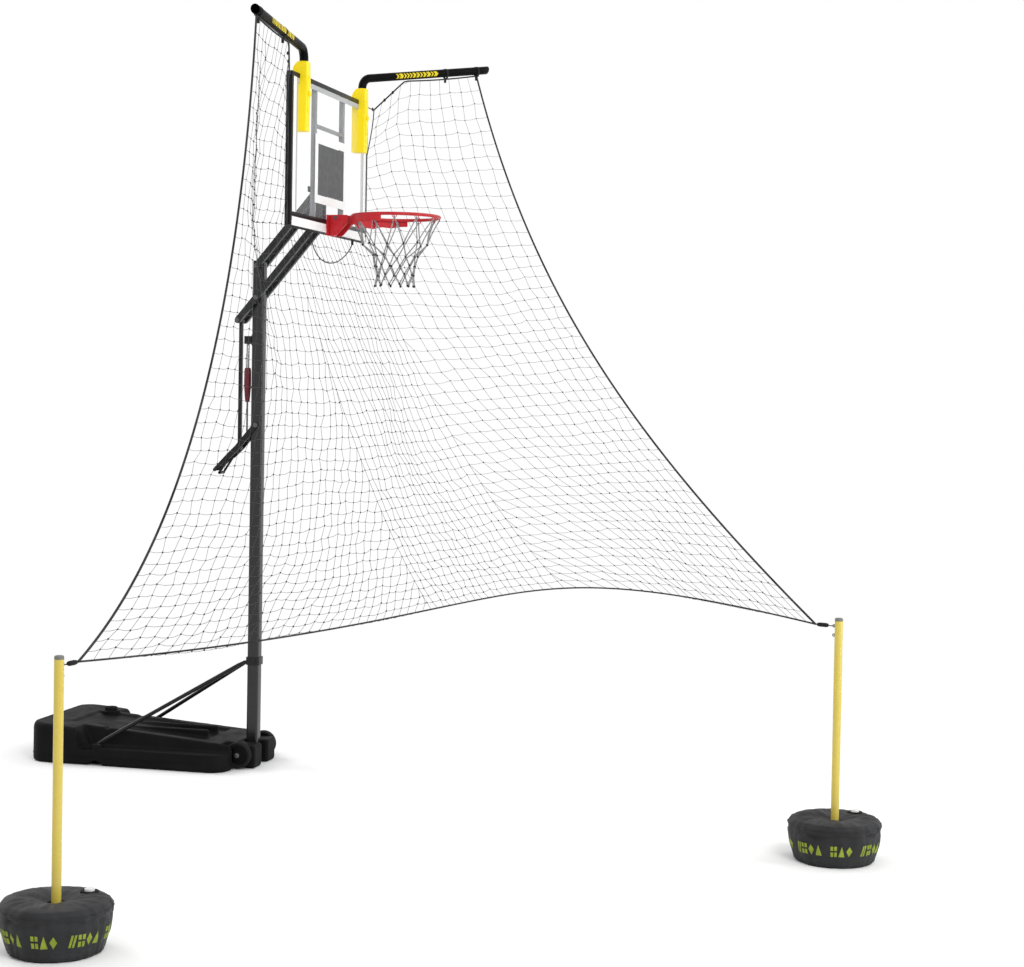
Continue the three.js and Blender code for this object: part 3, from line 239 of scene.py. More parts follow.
class Finish(Tree):
    """A finish built up in steps: colour variation, roughness variation and bump."""

    def __init__(self, name, color, roughness, metallic=0.0, specular=0.5):
        material = bpy.data.materials.new(name + "_finish")
        super().__init__(material)
        FINISHES[name] = material
        self.shader = self.nodes["Principled BSDF"]
        self.color = (*color, 1)
        self.roughness = roughness
        self.normal = None
        self.feed(self.shader, {"Base Color": self.color, "Roughness": roughness, "Metallic": metallic,
                                "Specular IOR Level": specular})
        self.coords = self.add("TexCoord", {}).outputs["Object"]

    def texture(self, scale, stretch=(1, 1, 1), detail=4.0):
        spot = self.add("Mapping", {"Scale": stretch, "Vector": self.coords}).outputs["Vector"]
        return self.add("TexNoise", {"Scale": scale, "Detail": detail, "Vector": spot}).outputs["Fac"]

    def ramp(self, value, low, high, low_at=0.3, high_at=0.7):
        return self.add("MapRange", {
            "From Min": low_at, "From Max": high_at, "To Min": low, "To Max": high, "Value": value,
        }).outputs["Result"]

    def tint(self, amount, color):
        """Mixes another colour over the one so far."""
        base = self.shader.inputs["Base Color"]
        under = base.links[0].from_socket if base.links else self.color
        mix = self.add("Mix", {"Factor": amount, "A": under, "B": (*color, 1)}, data_type="RGBA")
        self.feed(self.shader, {"Base Color": mix.outputs["Result"]})
        return self

    def mottle(self, color, scale, low=0.0, high=1.0):
        """Varies the colour towards another one in patches."""
        return self.tint(self.ramp(self.texture(scale), low, high), color)

    def edge_wear_and_highlight(self, color, amount):
        """Lightens convex edges a little: partly wear from handling, partly a painted highlight along the
        edges.
        """
        edges = self.add("NewGeometry", {}).outputs["Pointiness"]
        return self.tint(self.ramp(edges, 0.0, amount, 0.51, 0.58), color)

    def polish(self, scale, spread):
        """Varies the roughness in patches."""
        worn = self.ramp(self.texture(scale), self.roughness - spread, self.roughness + spread)
        self.feed(self.shader, {"Roughness": worn})
        return self

    def emboss(self, value, depth):
        """Adds a bump of this depth in metres."""
        inputs = {"Strength": 1.0, "Distance": depth, "Height": value}
        if self.normal is not None:
            inputs["Normal"] = self.normal
        self.normal = self.add("Bump", inputs).outputs["Normal"]
        self.feed(self.shader, {"Normal": self.normal})
        return self

    def grain(self, scale, depth, stretch=(1, 1, 1), detail=2.0):
        return self.emboss(self.texture(scale, stretch, detail), depth)

    def weave(self, pitch, depth):
        """Adds the bump of crossed threads of this pitch in metres."""
        x, y, z = (self.add("TexWave", {
            "Scale": METRE_BANDS / pitch, "Distortion": 0.4, "Detail Scale": 30, "Vector": self.coords,
        }, bands_direction=axis).outputs["Fac"] for axis in "XYZ")
        return self.emboss(self.combine("ADD", self.combine("ADD", x, y), z), depth)


def powder_coat(name, color, lighter, roughness, specular=0.3):
    paint = Finish(name, color, roughness, 0.0, specular)
    paint.mottle(lighter, 9.0, 0.0, 0.5).polish(14.0, 0.07)
    # Lighter convex edges: partly wear, partly a painted highlight.
    paint.grain(900.0, 0.00008).grain(220.0, 0.00005).edge_wear_and_highlight(lighter, 0.5)


def moulded(name, color, lighter, roughness, grain, specular=0.3):
    paint = Finish(name, color, roughness, 0.0, specular)
    paint.mottle(lighter, 6.0, 0.0, 0.6).polish(10.0, 0.08)
    paint.grain(700.0, grain).grain(60.0, grain * 1.5)


def woven(name, color, other, roughness, specular, scale, share, grain_scale, depth):
    paint = Finish(name, color, roughness, 0.0, specular)
    paint.mottle(other, scale, 0.0, share).grain(grain_scale, depth)


def make_finishes():
    moulded("tank_plastic", (0.005, 0.005, 0.0053), (0.01, 0.01, 0.0105), 0.55, 0.00014, 0.05)
    powder_coat("pole_black", (0.006, 0.006, 0.0065), (0.012, 0.0122, 0.013), 0.24, 0.45)
    powder_coat("black_steel", (0.006, 0.006, 0.0065), (0.014, 0.0145, 0.0155), 0.3, 0.2)
    powder_coat("grey_steel", (0.008, 0.0082, 0.009), (0.03, 0.031, 0.033), 0.3, 0.25)
    moulded("wheel_rubber", (0.006, 0.006, 0.006), (0.016, 0.0155, 0.015), 0.72, 0.0002, 0.15)
    moulded("spring_red", (0.1, 0.005, 0.012), (0.15, 0.012, 0.02), 0.45, 0.00005)
    moulded("plug_grey", (0.13, 0.13, 0.12), (0.22, 0.22, 0.21), 0.5, 0.00008)
    moulded("cap_white", (0.62, 0.63, 0.63), (0.78, 0.78, 0.77), 0.35, 0.00004)
    moulded("white_trim", (0.8, 0.8, 0.79), (0.7, 0.71, 0.71), 0.4, 0.00003)
    powder_coat("rim_red", (0.38, 0.007, 0.011), (0.52, 0.016, 0.024), 0.34)
    powder_coat("yellow_paint", (0.86, 0.65, 0.002), (0.9, 0.7, 0.02), 0.38, 0.2)
    powder_coat("pole_yellow", (0.5, 0.385, 0.042), (0.58, 0.46, 0.085), 0.26, 0.5)
    powder_coat("arm_black", (0.001, 0.001, 0.0011), (0.003, 0.003, 0.0032), 0.42, 0.05)
    moulded("line_grey", (0.36, 0.365, 0.37), (0.46, 0.465, 0.47), 0.5, 0.00005)
    powder_coat("bolt_dark", (0.03, 0.031, 0.032), (0.09, 0.09, 0.092), 0.3, 0.5)
    moulded("rope_black", (0.014, 0.014, 0.0145), (0.07, 0.07, 0.073), 0.8, 0.0004, 0.15)
    moulded("strap_black", (0.006, 0.006, 0.0065), (0.014, 0.014, 0.0145), 0.7, 0.0003, 0.2)
    zinc = Finish("zinc_steel", (0.42, 0.43, 0.44), 0.32, 1.0)
    zinc.mottle((0.3, 0.3, 0.29), 60.0, 0.0, 0.7).polish(90.0, 0.1).grain(400.0, 0.00005)
    board = Finish("board_black", (0.005, 0.005, 0.0055), 0.34, 0.0, 0.15)
    board.mottle((0.011, 0.011, 0.012), 12.0, 0.0, 0.6).polish(20.0, 0.06)
    board.grain(300.0, 0.00004, (1, 1, 0.03))
    rail = Finish("rail_grey", (0.13, 0.134, 0.142), 0.4, 0.0, 0.4)
    rail.mottle((0.19, 0.195, 0.205), 12.0).polish(20.0, 0.07).grain(400.0, 0.00004, (1, 1, 0.04))
    clear = Finish("clear_panel", (0.9, 0.93, 0.94), 0.05)
    clear.feed(clear.shader, {"Alpha": 0.06})
    clear.polish(8.0, 0.03).grain(5.0, 0.00003)
    target = Finish("target_grey", (0.058, 0.059, 0.061), 0.55, 0.0, 0.3)
    target.mottle((0.09, 0.092, 0.095), 25.0, 0.0, 0.7).polish(30.0, 0.06).grain(500.0, 0.00005)
    woven("hoop_cord", (0.36, 0.365, 0.375), (0.13, 0.13, 0.135), 0.8, 0.5, 90.0, 1.0, 900.0, 0.0005)
    woven("net_cord", (0.045, 0.045, 0.047), (0.1, 0.1, 0.104), 0.85, 0.1, 70.0, 0.8, 1100.0, 0.0004)
    woven("net_knot", (0.014, 0.014, 0.015), (0.04, 0.04, 0.042), 0.85, 0.2, 90.0, 0.8, 1100.0, 0.0004)
    woven("arm_print", (0.7, 0.56, 0.005), (0.5, 0.4, 0.01), 0.45, 0.25, 120.0, 0.8, 800.0, 0.00005)
    fabric = Finish("bag_fabric", (0.012, 0.0122, 0.013), 0.55, 0.0, 0.25)
    fabric.mottle((0.024, 0.0245, 0.0265), 7.0).polish(12.0, 0.1).weave(0.0016, 0.0003)
    fabric.grain(45.0, 0.0012, detail=4.0).grain(11.0, 0.012, (1, 1, 1.8), 3.0)
    printed = Finish("bag_print", (0.29, 0.36, 0.035), 0.6, 0.0, 0.25)
    printed.mottle((0.17, 0.22, 0.015), 60.0, 0.0, 0.8).weave(0.0016, 0.0003)


# Mesh helpers


def circle(at, u, v, radius, count, phase=0.0):
    """Points on a circle in the plane of u and v."""
    return [
        at + (u * math.cos(a) + v * math.sin(a)) * radius
        for a in (TURN * (k + phase) / count for k in range(count))
    ]


def ridged(at, axis, u, v, profile, count, cut, depth, beyond):
    """Rings about an axis. Points that the test picks are set in where the radius is beyond a limit."""
    return [[
        at + axis * h + (u * math.cos(a) + v * math.sin(a)) * (r - (depth if r > beyond and cut(k) else 0))
        for k, a in ((k, TURN * k / count) for k in range(count))
    ] for r, h in profile]


def mirrored(half):
    """A closed ring profile from its half below the middle."""
    return half + [(r, -h) for r, h in reversed(half)] + half[:1]


class Shape:
    """Collects points and faces of one object, smooth but for edges sharper than crease degrees."""

    def __init__(self, crease=35.0):
        self.verts = []
        self.faces = []
        self.crease = crease

    def add(self, verts, faces):
        start = len(self.verts)
        self.verts += verts
        self.faces += [tuple(start + i for i in face) for face in faces]
        return self

    def loft(self, rings, looped=False, capped=True, open_ring=False):
        """Skins rings of equally many points, capped at both ends unless they run in a loop."""
        count = len(rings[0])
        start = len(self.verts)
        for ring in rings:
            self.verts += ring
        sides = count - 1 if open_ring else count
        for r in range(len(rings) if looped else len(rings) - 1):
            here = start + r * count
            there = start + ((r + 1) % len(rings)) * count
            for i in range(sides):
                j = (i + 1) % count
                self.faces.append((here + i, here + j, there + j, there + i))
        if capped and not looped:
            self.faces.append(tuple(start + i for i in reversed(range(count))))
            self.faces.append(tuple(start + (len(rings) - 1) * count + i for i in range(count)))
        return self

    def tube(self, path, radius, sides=12, looped=False):
        """A round section along a path. The radius may be a list, one for each point."""
        radii = radius if isinstance(radius, list) else [radius] * len(path)
        rings = []
        last = len(path) - 1
        up = None
        for i, point in enumerate(path):
            before = path[i - 1] if (i or looped) else path[0]
            after = path[(i + 1) % len(path)] if (i < last or looped) else path[last]
            along = (after - before).normalized()
            if up is None:
                up = Z if abs(along.z) < 0.9 else X
            up = (up - along * up.dot(along)).normalized()
            rings.append(circle(point, up, along.cross(up), radii[i], sides, 0.5))
        return self.loft(rings, looped=looped)

    def cross_pin(self, at, low_x, high_x, radius, sides=24):
        """A round pin along X through a point."""
        return self.tube([vec(low_x, at.y, at.z), vec(high_x, at.y, at.z)], radius, sides)

    def turned(self, profile, sides, at, axis=Z):
        """A lathe about an axis, its profile as radius and height, a ring if the profile closes."""
        at = Vector(at)
        across = axis.orthogonal().normalized() if abs(axis.z) < 0.9 else X
        other = axis.cross(across)
        rings = [circle(at + axis * h, across, other, max(r, 1e-5), sides) for r, h in profile]
        if profile[0] == profile[-1]:
            return self.loft(rings[:-1], looped=True)
        return self.loft(rings)

    def disc(self, radius, low, high, sides, at, axis):
        """A round plate about an axis, between two heights on it."""
        return self.turned([(0.0, low), (radius, low), (radius, high), (0.0, high)], sides, at, axis)

    def ball(self, at, radius, rings, sides, stretch):
        angles = (math.pi * i / rings for i in range(rings + 1))
        profile = [(radius * math.sin(a), -radius * stretch * math.cos(a)) for a in angles]
        return self.turned(profile, sides, at)

    def box(self, low, high, bevel=0.0, segments=3):
        """A box with rounded edges."""
        work = bmesh.new()
        bmesh.ops.create_cube(work, size=1.0)
        for vert in work.verts:
            vert.co = Vector(lerp(low[i], high[i], vert.co[i] + 0.5) for i in range(3))
        return self.take(work, work.edges, bevel, segments)

    def prism(self, outline, start, end, axis, bevel, segments=2):
        """A flat outline of points pushed along an axis, with its two rims rounded."""
        work = bmesh.new()
        low, high = ([work.verts.new(Vector(p) + axis * reach) for p in outline] for reach in (start, end))
        caps = [work.faces.new(low[::-1]), work.faces.new(high)]
        for i in range(len(outline)):
            j = (i + 1) % len(outline)
            work.faces.new((low[i], low[j], high[j], high[i]))
        return self.take(work, {edge for cap in caps for edge in cap.edges}, bevel, segments)

    def plates(self, outline, near, far, bevel):
        """The same flat plate on either side, from an outline in the YZ plane."""
        for start, end in both(near, far):
            self.prism(outline, start, end, X, bevel)
        return self

    def take(self, work, edges, bevel, segments):
        """Rounds some edges of a bmesh and adds it."""
        if bevel:
            bmesh.ops.bevel(work, geom=list(edges), offset=bevel, segments=segments, affect="EDGES",
                            profile=0.5)
        work.verts.index_update()
        self.add([v.co.copy() for v in work.verts], [[v.index for v in f.verts] for f in work.faces])
        work.free()
        return self

    def hex_head(self, at, axis, radius, height):
        """A chamfered hexagon head on an axis."""
        across = axis.orthogonal().normalized()
        other = axis.cross(across)
        return self.loft([
            circle(at + axis * h, across, other, r, 6)
            for r, h in ((radius, 0), (radius, height * 0.75), (radius * 0.86, height))
        ])

    def object(self, name):
        mesh = bpy.data.meshes.new(name)
        mesh.from_pydata([tuple(v) for v in self.verts], [], self.faces)
        mesh.validate()
        work = bmesh.new()
        work.from_mesh(mesh)
        bmesh.ops.recalc_face_normals(work, faces=work.faces)
        work.to_mesh(mesh)
        work.free()
        mesh.shade_smooth()
        mesh.set_sharp_from_angle(angle=math.radians(self.crease))
        return add_object(name, mesh)

    def piece(self, name, body, finish, node=None, slot=None):
        """Makes a piece with its finish and its body, in place of the frame's node that it stands for."""
        thing = self.object(name)
        thing.data.materials.append(FINISHES[finish])
        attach(thing, body)
        if node:
            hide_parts(node)
        return thing


def arc(at, u, v, radius, start, end, steps):
    """Points on an arc in the plane of u and v, angles in degrees."""
    at = Vector(at)
    return [
        at + (u * math.cos(a) + v * math.sin(a)) * radius
        for a in (math.radians(lerp(start, end, i / steps)) for i in range(steps + 1))
    ]


def soften(outline, radius, steps=3):
    """Rounds the corners of a closed flat outline."""
    points = [Vector(p) for p in outline]
    out = []
    for i, corner in enumerate(points):
        before = points[i - 1] - corner
        after = points[(i + 1) % len(points)] - corner
        reach = min(radius, before.length * 0.45, after.length * 0.45)
        start = corner + before.normalized() * reach
        end = corner + after.normalized() * reach
        for t in (k / steps for k in range(steps + 1)):
            out.append(start * (1 - t) ** 2 + corner * 2 * t * (1 - t) + end * t ** 2)
    return out


def path_length(points):
    return sum((b - a).length for a, b in zip(points, points[1:]))


def resample(points, step):
    """Points at even distances along a polyline."""
    lengths = [(b - a).length for a, b in zip(points, points[1:])]
    total = sum(lengths)
    count = max(2, round(total / step))
    out = []
    for k in range(count + 1):
        goal = total * k / count
        i = 0
        while i < len(lengths) - 1 and goal > lengths[i]:
            goal -= lengths[i]
            i += 1
        out.append(points[i].lerp(points[i + 1], min(goal / max(lengths[i], 1e-9), 1)))
    return out


def rounded_square(half, corner, steps=6):
    points = []
    for sx, sy, start in ((1, 1, 0), (-1, 1, 90), (-1, -1, 180), (1, -1, 270)):
        at = (sx * (half - corner), sy * (half - corner), 0)
        points += arc(at, X, Y, corner, start, start + 90, steps)
    return points


def bar_outline(a, b, depth):
    """A bar with round ends between two points of the YZ plane."""
    along = (b - a).normalized()
    side = X.cross(along)
    return (arc((0, a.y, a.z), side, -along, depth / 2, 0, 180, 10)
            + arc((0, b.y, b.z), -side, along, depth / 2, 0, 180, 10))


# Places read from the frame

JOINTS = {joint["name"]: Vector(joint["pos_m"]) for joint in frame["joints"] if "pos_m" in joint}
UPPER_PIVOT = JOINTS["height_adjust"]
LOWER_PIVOT = JOINTS["lower_arm_swing"]
UPPER_FRONT = JOINTS["board_level"]
LOWER_FRONT = LOWER_PIVOT + UPPER_FRONT - UPPER_PIVOT
TAIL_PIN = centre("strut_pin")
LEVER_PIVOT = JOINTS["handle_swing"]
LEVER_PIN = JOINTS["strut_level"]
BOARD_LOW, BOARD_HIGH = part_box("board_frame")
BOARD_MIDDLE_Y = (BOARD_LOW.y + BOARD_HIGH.y) / 2
RING_ROD = 0.009
RING_RADIUS = 0.2375
RING_CENTRE = vec(0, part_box("rim")[0].y + RING_RADIUS + RING_ROD, 3.041)
BRACE_FOOT = vec(0.322, 0.79, 0.1155)
BRACE_TOP_Z = 0.572


# Tank and wheels


def settled(thing, tools=()):
    """Applies an object's modifiers and removes it and its tools, leaving a shape."""
    graph = bpy.context.evaluated_depsgraph_get()
    mesh = bpy.data.meshes.new_from_object(thing.evaluated_get(graph))
    shape = Shape(60).add([v.co.copy() for v in mesh.vertices], [tuple(p.vertices) for p in mesh.polygons])
    bpy.data.meshes.remove(mesh)
    for old in (thing, *tools):
        data = old.data
        bpy.data.objects.remove(old)
        bpy.data.meshes.remove(data)
    return shape


def carved(solid, cutters):
    """Cuts other solids from a solid."""
    thing = solid.object("uncut")
    tools = [cutter.object("cutter") for cutter in cutters]
    for tool in tools:
        change = thing.modifiers.new("cut", "BOOLEAN")
        change.operation = "DIFFERENCE"
        change.solver = "EXACT"
        change.object = tool
    return settled(thing, tools)


def blow_moulded(solid, voxel=0.006, rounds=5):
    """Joins overlapping solids into one skin with all its edges rounded."""
    thing = solid.object("unrounded")
    skin = thing.modifiers.new("skin", "REMESH")
    skin.mode = "VOXEL"
    skin.voxel_size = voxel
    soft = thing.modifiers.new("soft", "SMOOTH")
    soft.factor = 0.5
    soft.iterations = rounds
    return settled(thing)


def add_tank():
    low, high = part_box("base_tank")
    half = high.x
    front = 0.03
    back = high.y
    corner = 0.11
    ledge_z = 0.098
    seam_z = 0.046
    foot_gap = 0.0405

    def top(y, drop=0.0):
        return lerp(0.138, high.z, (y - front) / (back - front)) - drop

    def ring(inset, height):
        near, far = front + corner, back - corner
        quarters = ((1, far, 0), (-1, far, 90), (-1, near, 180), (1, near, 270))
        return [
            p + Z * height(p.y) for side, y, start in quarters
            for p in arc((side * (half - corner), y, 0), X, Y, corner - inset, start, start + 90, 10)
        ]

    body = Shape().loft([
        ring(0.01, lambda y: 0), ring(0.0, lambda y: 0.01), ring(0.0, lambda y: top(y, 0.03)),
        ring(0.006, lambda y: top(y, 0.012)), ring(0.016, top),
    ])
    cutters = []
    for side, (near, far) in zip((-1, 1), both(0.15, 0.2366)):
        ledge = [[vec(side * x, y, z) for x, y, z in (
            (0.262, low_y, ledge_z), (0.4, low_y, ledge_z), (0.4, high_y, 0.26), (0.21, high_y, 0.26),
        )] for low_y, high_y in ((0.0, 0.0), (0.85, 0.955))]
        groove = [[vec(side * x, y, z) for x, z in (
            (0.11, 0.3), (0.145, 0.3), (0.135, 0.155), (0.12, 0.155),
        )] for y in (0.3, 0.72)]
        cutters += [
            Shape().loft(ledge),
            Shape().box((near, -0.02, -0.02), (far, 0.096, 0.2)),
            Shape().disc(0.05, 0.0, 0.07, 24, (side * 0.3, 0.79, -0.022), X * side),
            Shape().turned([(0, 0), (0.055, 0), (0.075, 0.12), (0, 0.12)], 32, (side * 0.345, 0.835, 0.085)),
            Shape().loft(groove),
        ]
    deck = [[
        vec(side * width, y + inward * inset, top(y, drop))
        for side, y, inward in ((-1, 0.19, 1), (1, 0.19, 1), (1, 1.04, -1), (-1, 1.04, -1))
    ] for width, inset, drop in ((0.17, 0.03, 0.012), (0.205, -0.005, -0.02))]
    channel = [[vec(x, y, top(y, drop)) for y, drop in (
        (0.765, 0.012), (0.785, 0.012), (0.805, -0.03), (0.745, -0.03),
    )] for x in (-0.23, 0.23)]
    pole_well = Shape().box((-foot_gap, -0.02, -0.02), (foot_gap, foot_gap, 0.2))
    solid = carved(body, [*cutters, Shape().loft(deck), pole_well, Shape().loft(channel)])
    for side, (near, far) in zip((-1, 1), both(foot_gap, 0.165)):
        solid.box((near, low.y, 0.0), (far, 0.18, 0.128), 0.014)
        solid.box((side * 0.07 - 0.014, 0.24, 0.1), (side * 0.07 + 0.014, 0.73, top(0.73, 0.004)), 0.004, 2)
    solid.box((-0.06, foot_gap, 0.004), (0.06, 0.2, 0.126), 0.012)
    blow_moulded(solid).piece("tank_shell", "root", "tank_plastic", "base_tank")

    proud = 0.0002
    seam = [p for p in ring(-proud, lambda y: seam_z) if p.y > back - corner - 0.01]
    seam = [vec(half + proud, 0.2, seam_z), *seam, vec(-half - proud, 0.2, seam_z)]
    Shape().tube(seam, 0.0024, 8).piece("tank_seam", "root", "tank_plastic")

    sockets = Shape()
    for side in (-1, 1):
        sockets.turned([
            (0.037, 0), (0.035, 0.015), (0.0345, 0.024), (0.031, 0.0292), (0.017, 0.0292), (0.015, 0.024),
        ], 32, (side * BRACE_FOOT.x, BRACE_FOOT.y, 0.085))
    sockets.piece("brace_sockets", "root", "tank_plastic")

    at = underside("tank_cap")
    radius = size("tank_cap").x / 2
    Shape().turned([(radius + beyond, h) for beyond, h in (
        (0.018, -0.03), (0.016, -0.004), (0.012, -0.0005), (-0.004, -0.0005),
    )], 40, at).piece("tank_cap_boss", "root", "tank_plastic")
    profile = [(radius * r, h) for r, h in (
        (1.0, 0.0), (1.0, 0.013), (0.95, 0.0165), (0.86, 0.018), (0.8, 0.0145), (0.3, 0.0145),
    )]
    cap = Shape().loft(ridged(at, Z, X, Y, profile, 96, lambda k: k // 2 % 2, 0.0012, radius * 0.9))
    cap.box(at + vec(-radius * 0.72, -0.005, 0.012), at + vec(radius * 0.72, 0.005, 0.0178), 0.0015)
    cap.piece("tank_cap_ribbed", "tank_cap", "tank_plastic", "tank_cap")


def add_wheels():
    for side, _ in SIDES:
        node = "wheel_" + side
        at = centre(node)
        radius = size(node).z / 2
        half = size(node).x / 2
        Shape().turned(mirrored([(radius * r, half * w) for r, w in (
            (0.72, -0.62), (0.86, -0.86), (0.94, -0.84), (0.985, -0.66), (1.0, -0.3), (0.985, -0.26),
            (0.985, -0.2), (1.0, -0.16),
        )]), 64, at, X).piece("tyre_" + side, node, "wheel_rubber", node)
        hub = Shape().turned(mirrored([
            (0.0095, -half), (0.024, -half), (0.026, -half + 0.003), (0.026, -0.012), (0.052, -0.01),
        ]), 48, at, X)
        for spoke in (TURN * k / 6 for k in range(6)):
            out = Y * math.cos(spoke) + Z * math.sin(spoke)
            for face in (-1, 1):
                hub.tube([at + out * 0.022 + X * face * 0.011, at + out * 0.05 + X * face * 0.009], 0.004, 8)
        hub.piece("wheel_hub_" + side, node, "tank_plastic", slot="wheel_rubber")
    low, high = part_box("wheel_axle")
    at = centre("wheel_axle")
    axle = Shape().cross_pin(at, low.x + 0.002, high.x - 0.002, 0.0078)
    for side in (-1, 1):
        axle.turned([
            (0.0, 0.0), (0.008, 0.0005), (0.0125, 0.003), (0.014, 0.006), (0.014, 0.009), (0.0, 0.009),
        ], 24, vec(side * high.x, at.y, at.z), X * -side)
    axle.piece("axle_rod", "root", "bolt_dark", "wheel_axle")


# Pole, braces and lifting gear

POLE_CORNER = 0.012
POLE_HALF = size("pole_lower").x / 2
ARM_DEPTH = 0.034


def add_pole():
    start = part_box("pole_lower")[0].z
    for part in ("lower", "upper"):
        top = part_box("pole_" + part)[1].z
        tube = Shape().prism(rounded_square(POLE_HALF, POLE_CORNER, 10), start, top, Z, 0.0008)
        tube.piece("pole_tube_" + part, "root", "pole_black", "pole_" + part)
        start = top + 0.0003
    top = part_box("pole_foot")[1].z
    foot = Shape().prism(rounded_square(POLE_HALF + 0.0003, POLE_CORNER), 0, top, Z, 0.001)
    foot.piece("pole_foot_plate", "root", "black_steel", "pole_foot")
    low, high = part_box("pole_cap")
    cap = Shape().prism(rounded_square(POLE_HALF, POLE_CORNER), low.z, low.z + 0.004, Z, 0.001)
    cap.prism(rounded_square(POLE_HALF - 0.002, POLE_CORNER), low.z + 0.003, high.z, Z, 0.003, 3)
    cap.piece("pole_end_cap", "root", "tank_plastic", "pole_cap")


def add_braces():
    low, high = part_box("brace_collar")
    outer = high.x
    inner = POLE_HALF + 0.0004
    collar = Shape().loft([[p + Z * z for p in rounded_square(half, corner)] for half, corner, z in (
        (outer - 0.001, 0.011, low.z), (outer, 0.012, low.z + 0.001), (outer, 0.012, high.z - 0.001),
        (outer - 0.001, 0.011, high.z), (inner, 0.009, high.z), (inner, 0.009, low.z),
    )], looped=True)
    for side in (-1, 1):
        collar.hex_head(vec(side * outer, -0.012, (low.z + high.z) / 2), X * side, 0.009, 0.006)
    collar.piece("brace_collar_band", "root", "black_steel", "brace_collar")
    for name, side in SIDES:
        top = vec(side * (outer - 0.011), outer + 0.004, BRACE_TOP_Z)
        foot = vec(side * BRACE_FOOT.x, BRACE_FOOT.y, BRACE_FOOT.z)
        along = (foot - top).normalized()
        path = [top + along * d for d in (0, 0.02, 0.045)]
        path += [foot - along * d for d in (0.07, 0.045, 0.02, 0)]
        brace = Shape().tube(path, [0.007, 0.0085, 0.011, 0.011, 0.011, 0.008, 0.006], 20)
        tab = foot + Z * 0.001
        brace.turned([(0.0, -0.004), (0.02, -0.004), (0.021, -0.002), (0.02, 0.001), (0.0, 0.001)], 32, tab)
        brace.hex_head(tab + Z * 0.001, Z, 0.01, 0.006)
        brace.piece(f"brace_{name}_tube", "root", "black_steel", "brace_" + name)


def add_bolt(name, body, node):
    """A bolt across X with a head, a nut, washers and a thread's end, in place of a node."""
    at = centre(node)
    radius = size(node).z / 2
    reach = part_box(node)[1].x
    head = radius * 0.5
    shank = radius * 0.56
    bolt = Shape().cross_pin(at, at.x - reach + 0.001, at.x + reach - 0.001, shank)
    for side in (-1, 1):
        face = at + X * side * (reach - head)
        bolt.turned([
            (shank, -0.0012), (radius, -0.0012), (radius, 0.0004), (shank, 0.0004),
        ], 32, face, X * side)
        bolt.hex_head(face + X * side * 0.0004, X * side, radius * 0.9, head - 0.0004)
    for k in range(4):
        bolt.turned([
            (shank * 0.98, 0), (shank * 1.06, 0.0006), (shank * 0.98, 0.0012),
        ], 24, at + X * (reach - 0.0052 + k * 0.0013), X)
    bolt.piece(name, body, "bolt_dark", node)


def add_lifting_gear():
    for name, body, pins in (
        ("upper_arm", "upper_arms", (UPPER_PIVOT, UPPER_FRONT)),
        ("lower_arm", "lower_arms", (TAIL_PIN, LOWER_PIVOT, LOWER_FRONT)),
    ):
        for side, sign in SIDES:
            node = f"{name}_{side}"
            low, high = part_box(node)
            bar = Shape().prism(bar_outline(pins[0], pins[-1], ARM_DEPTH), low.x, high.x, X, 0.005, 4)
            for pin in pins:
                bar.disc(0.0155, -0.001, 0.0003, 32, (low.x if sign < 0 else high.x, pin.y, pin.z), X * sign)
            bar.piece(node + "_bar", body, "grey_steel", node)
    for name, body, node in (
        ("bolt_upper_pivot", "root", "upper_pivot_pin"), ("bolt_lower_pivot", "root", "lower_pivot_pin"),
        ("bolt_board_upper", "board", "board_pin_upper"), ("bolt_board_lower", "board", "board_pin_lower"),
        ("bolt_strut", "lower_arms", "strut_pin"), ("bolt_handle", "root", "handle_pivot_pin"),
        ("bolt_rim", "board", "rim_hinge_pin"),
    ):
        add_bolt(name, body, node)
    low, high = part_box("lift_strut")
    y = LEVER_PIN.y
    strut = Shape().box((low.x, y - 0.009, LEVER_PIN.z), (high.x, y + 0.009, TAIL_PIN.z), 0.0035)
    for pin in (LEVER_PIN, TAIL_PIN):
        strut.turned(mirrored([
            (0.0086, low.x), (0.0138, low.x), (0.015, low.x + 0.0012),
        ]), 40, (0, pin.y, pin.z), X)
    strut.piece("lift_strut_bar", "lift_strut", "black_steel", "lift_strut")


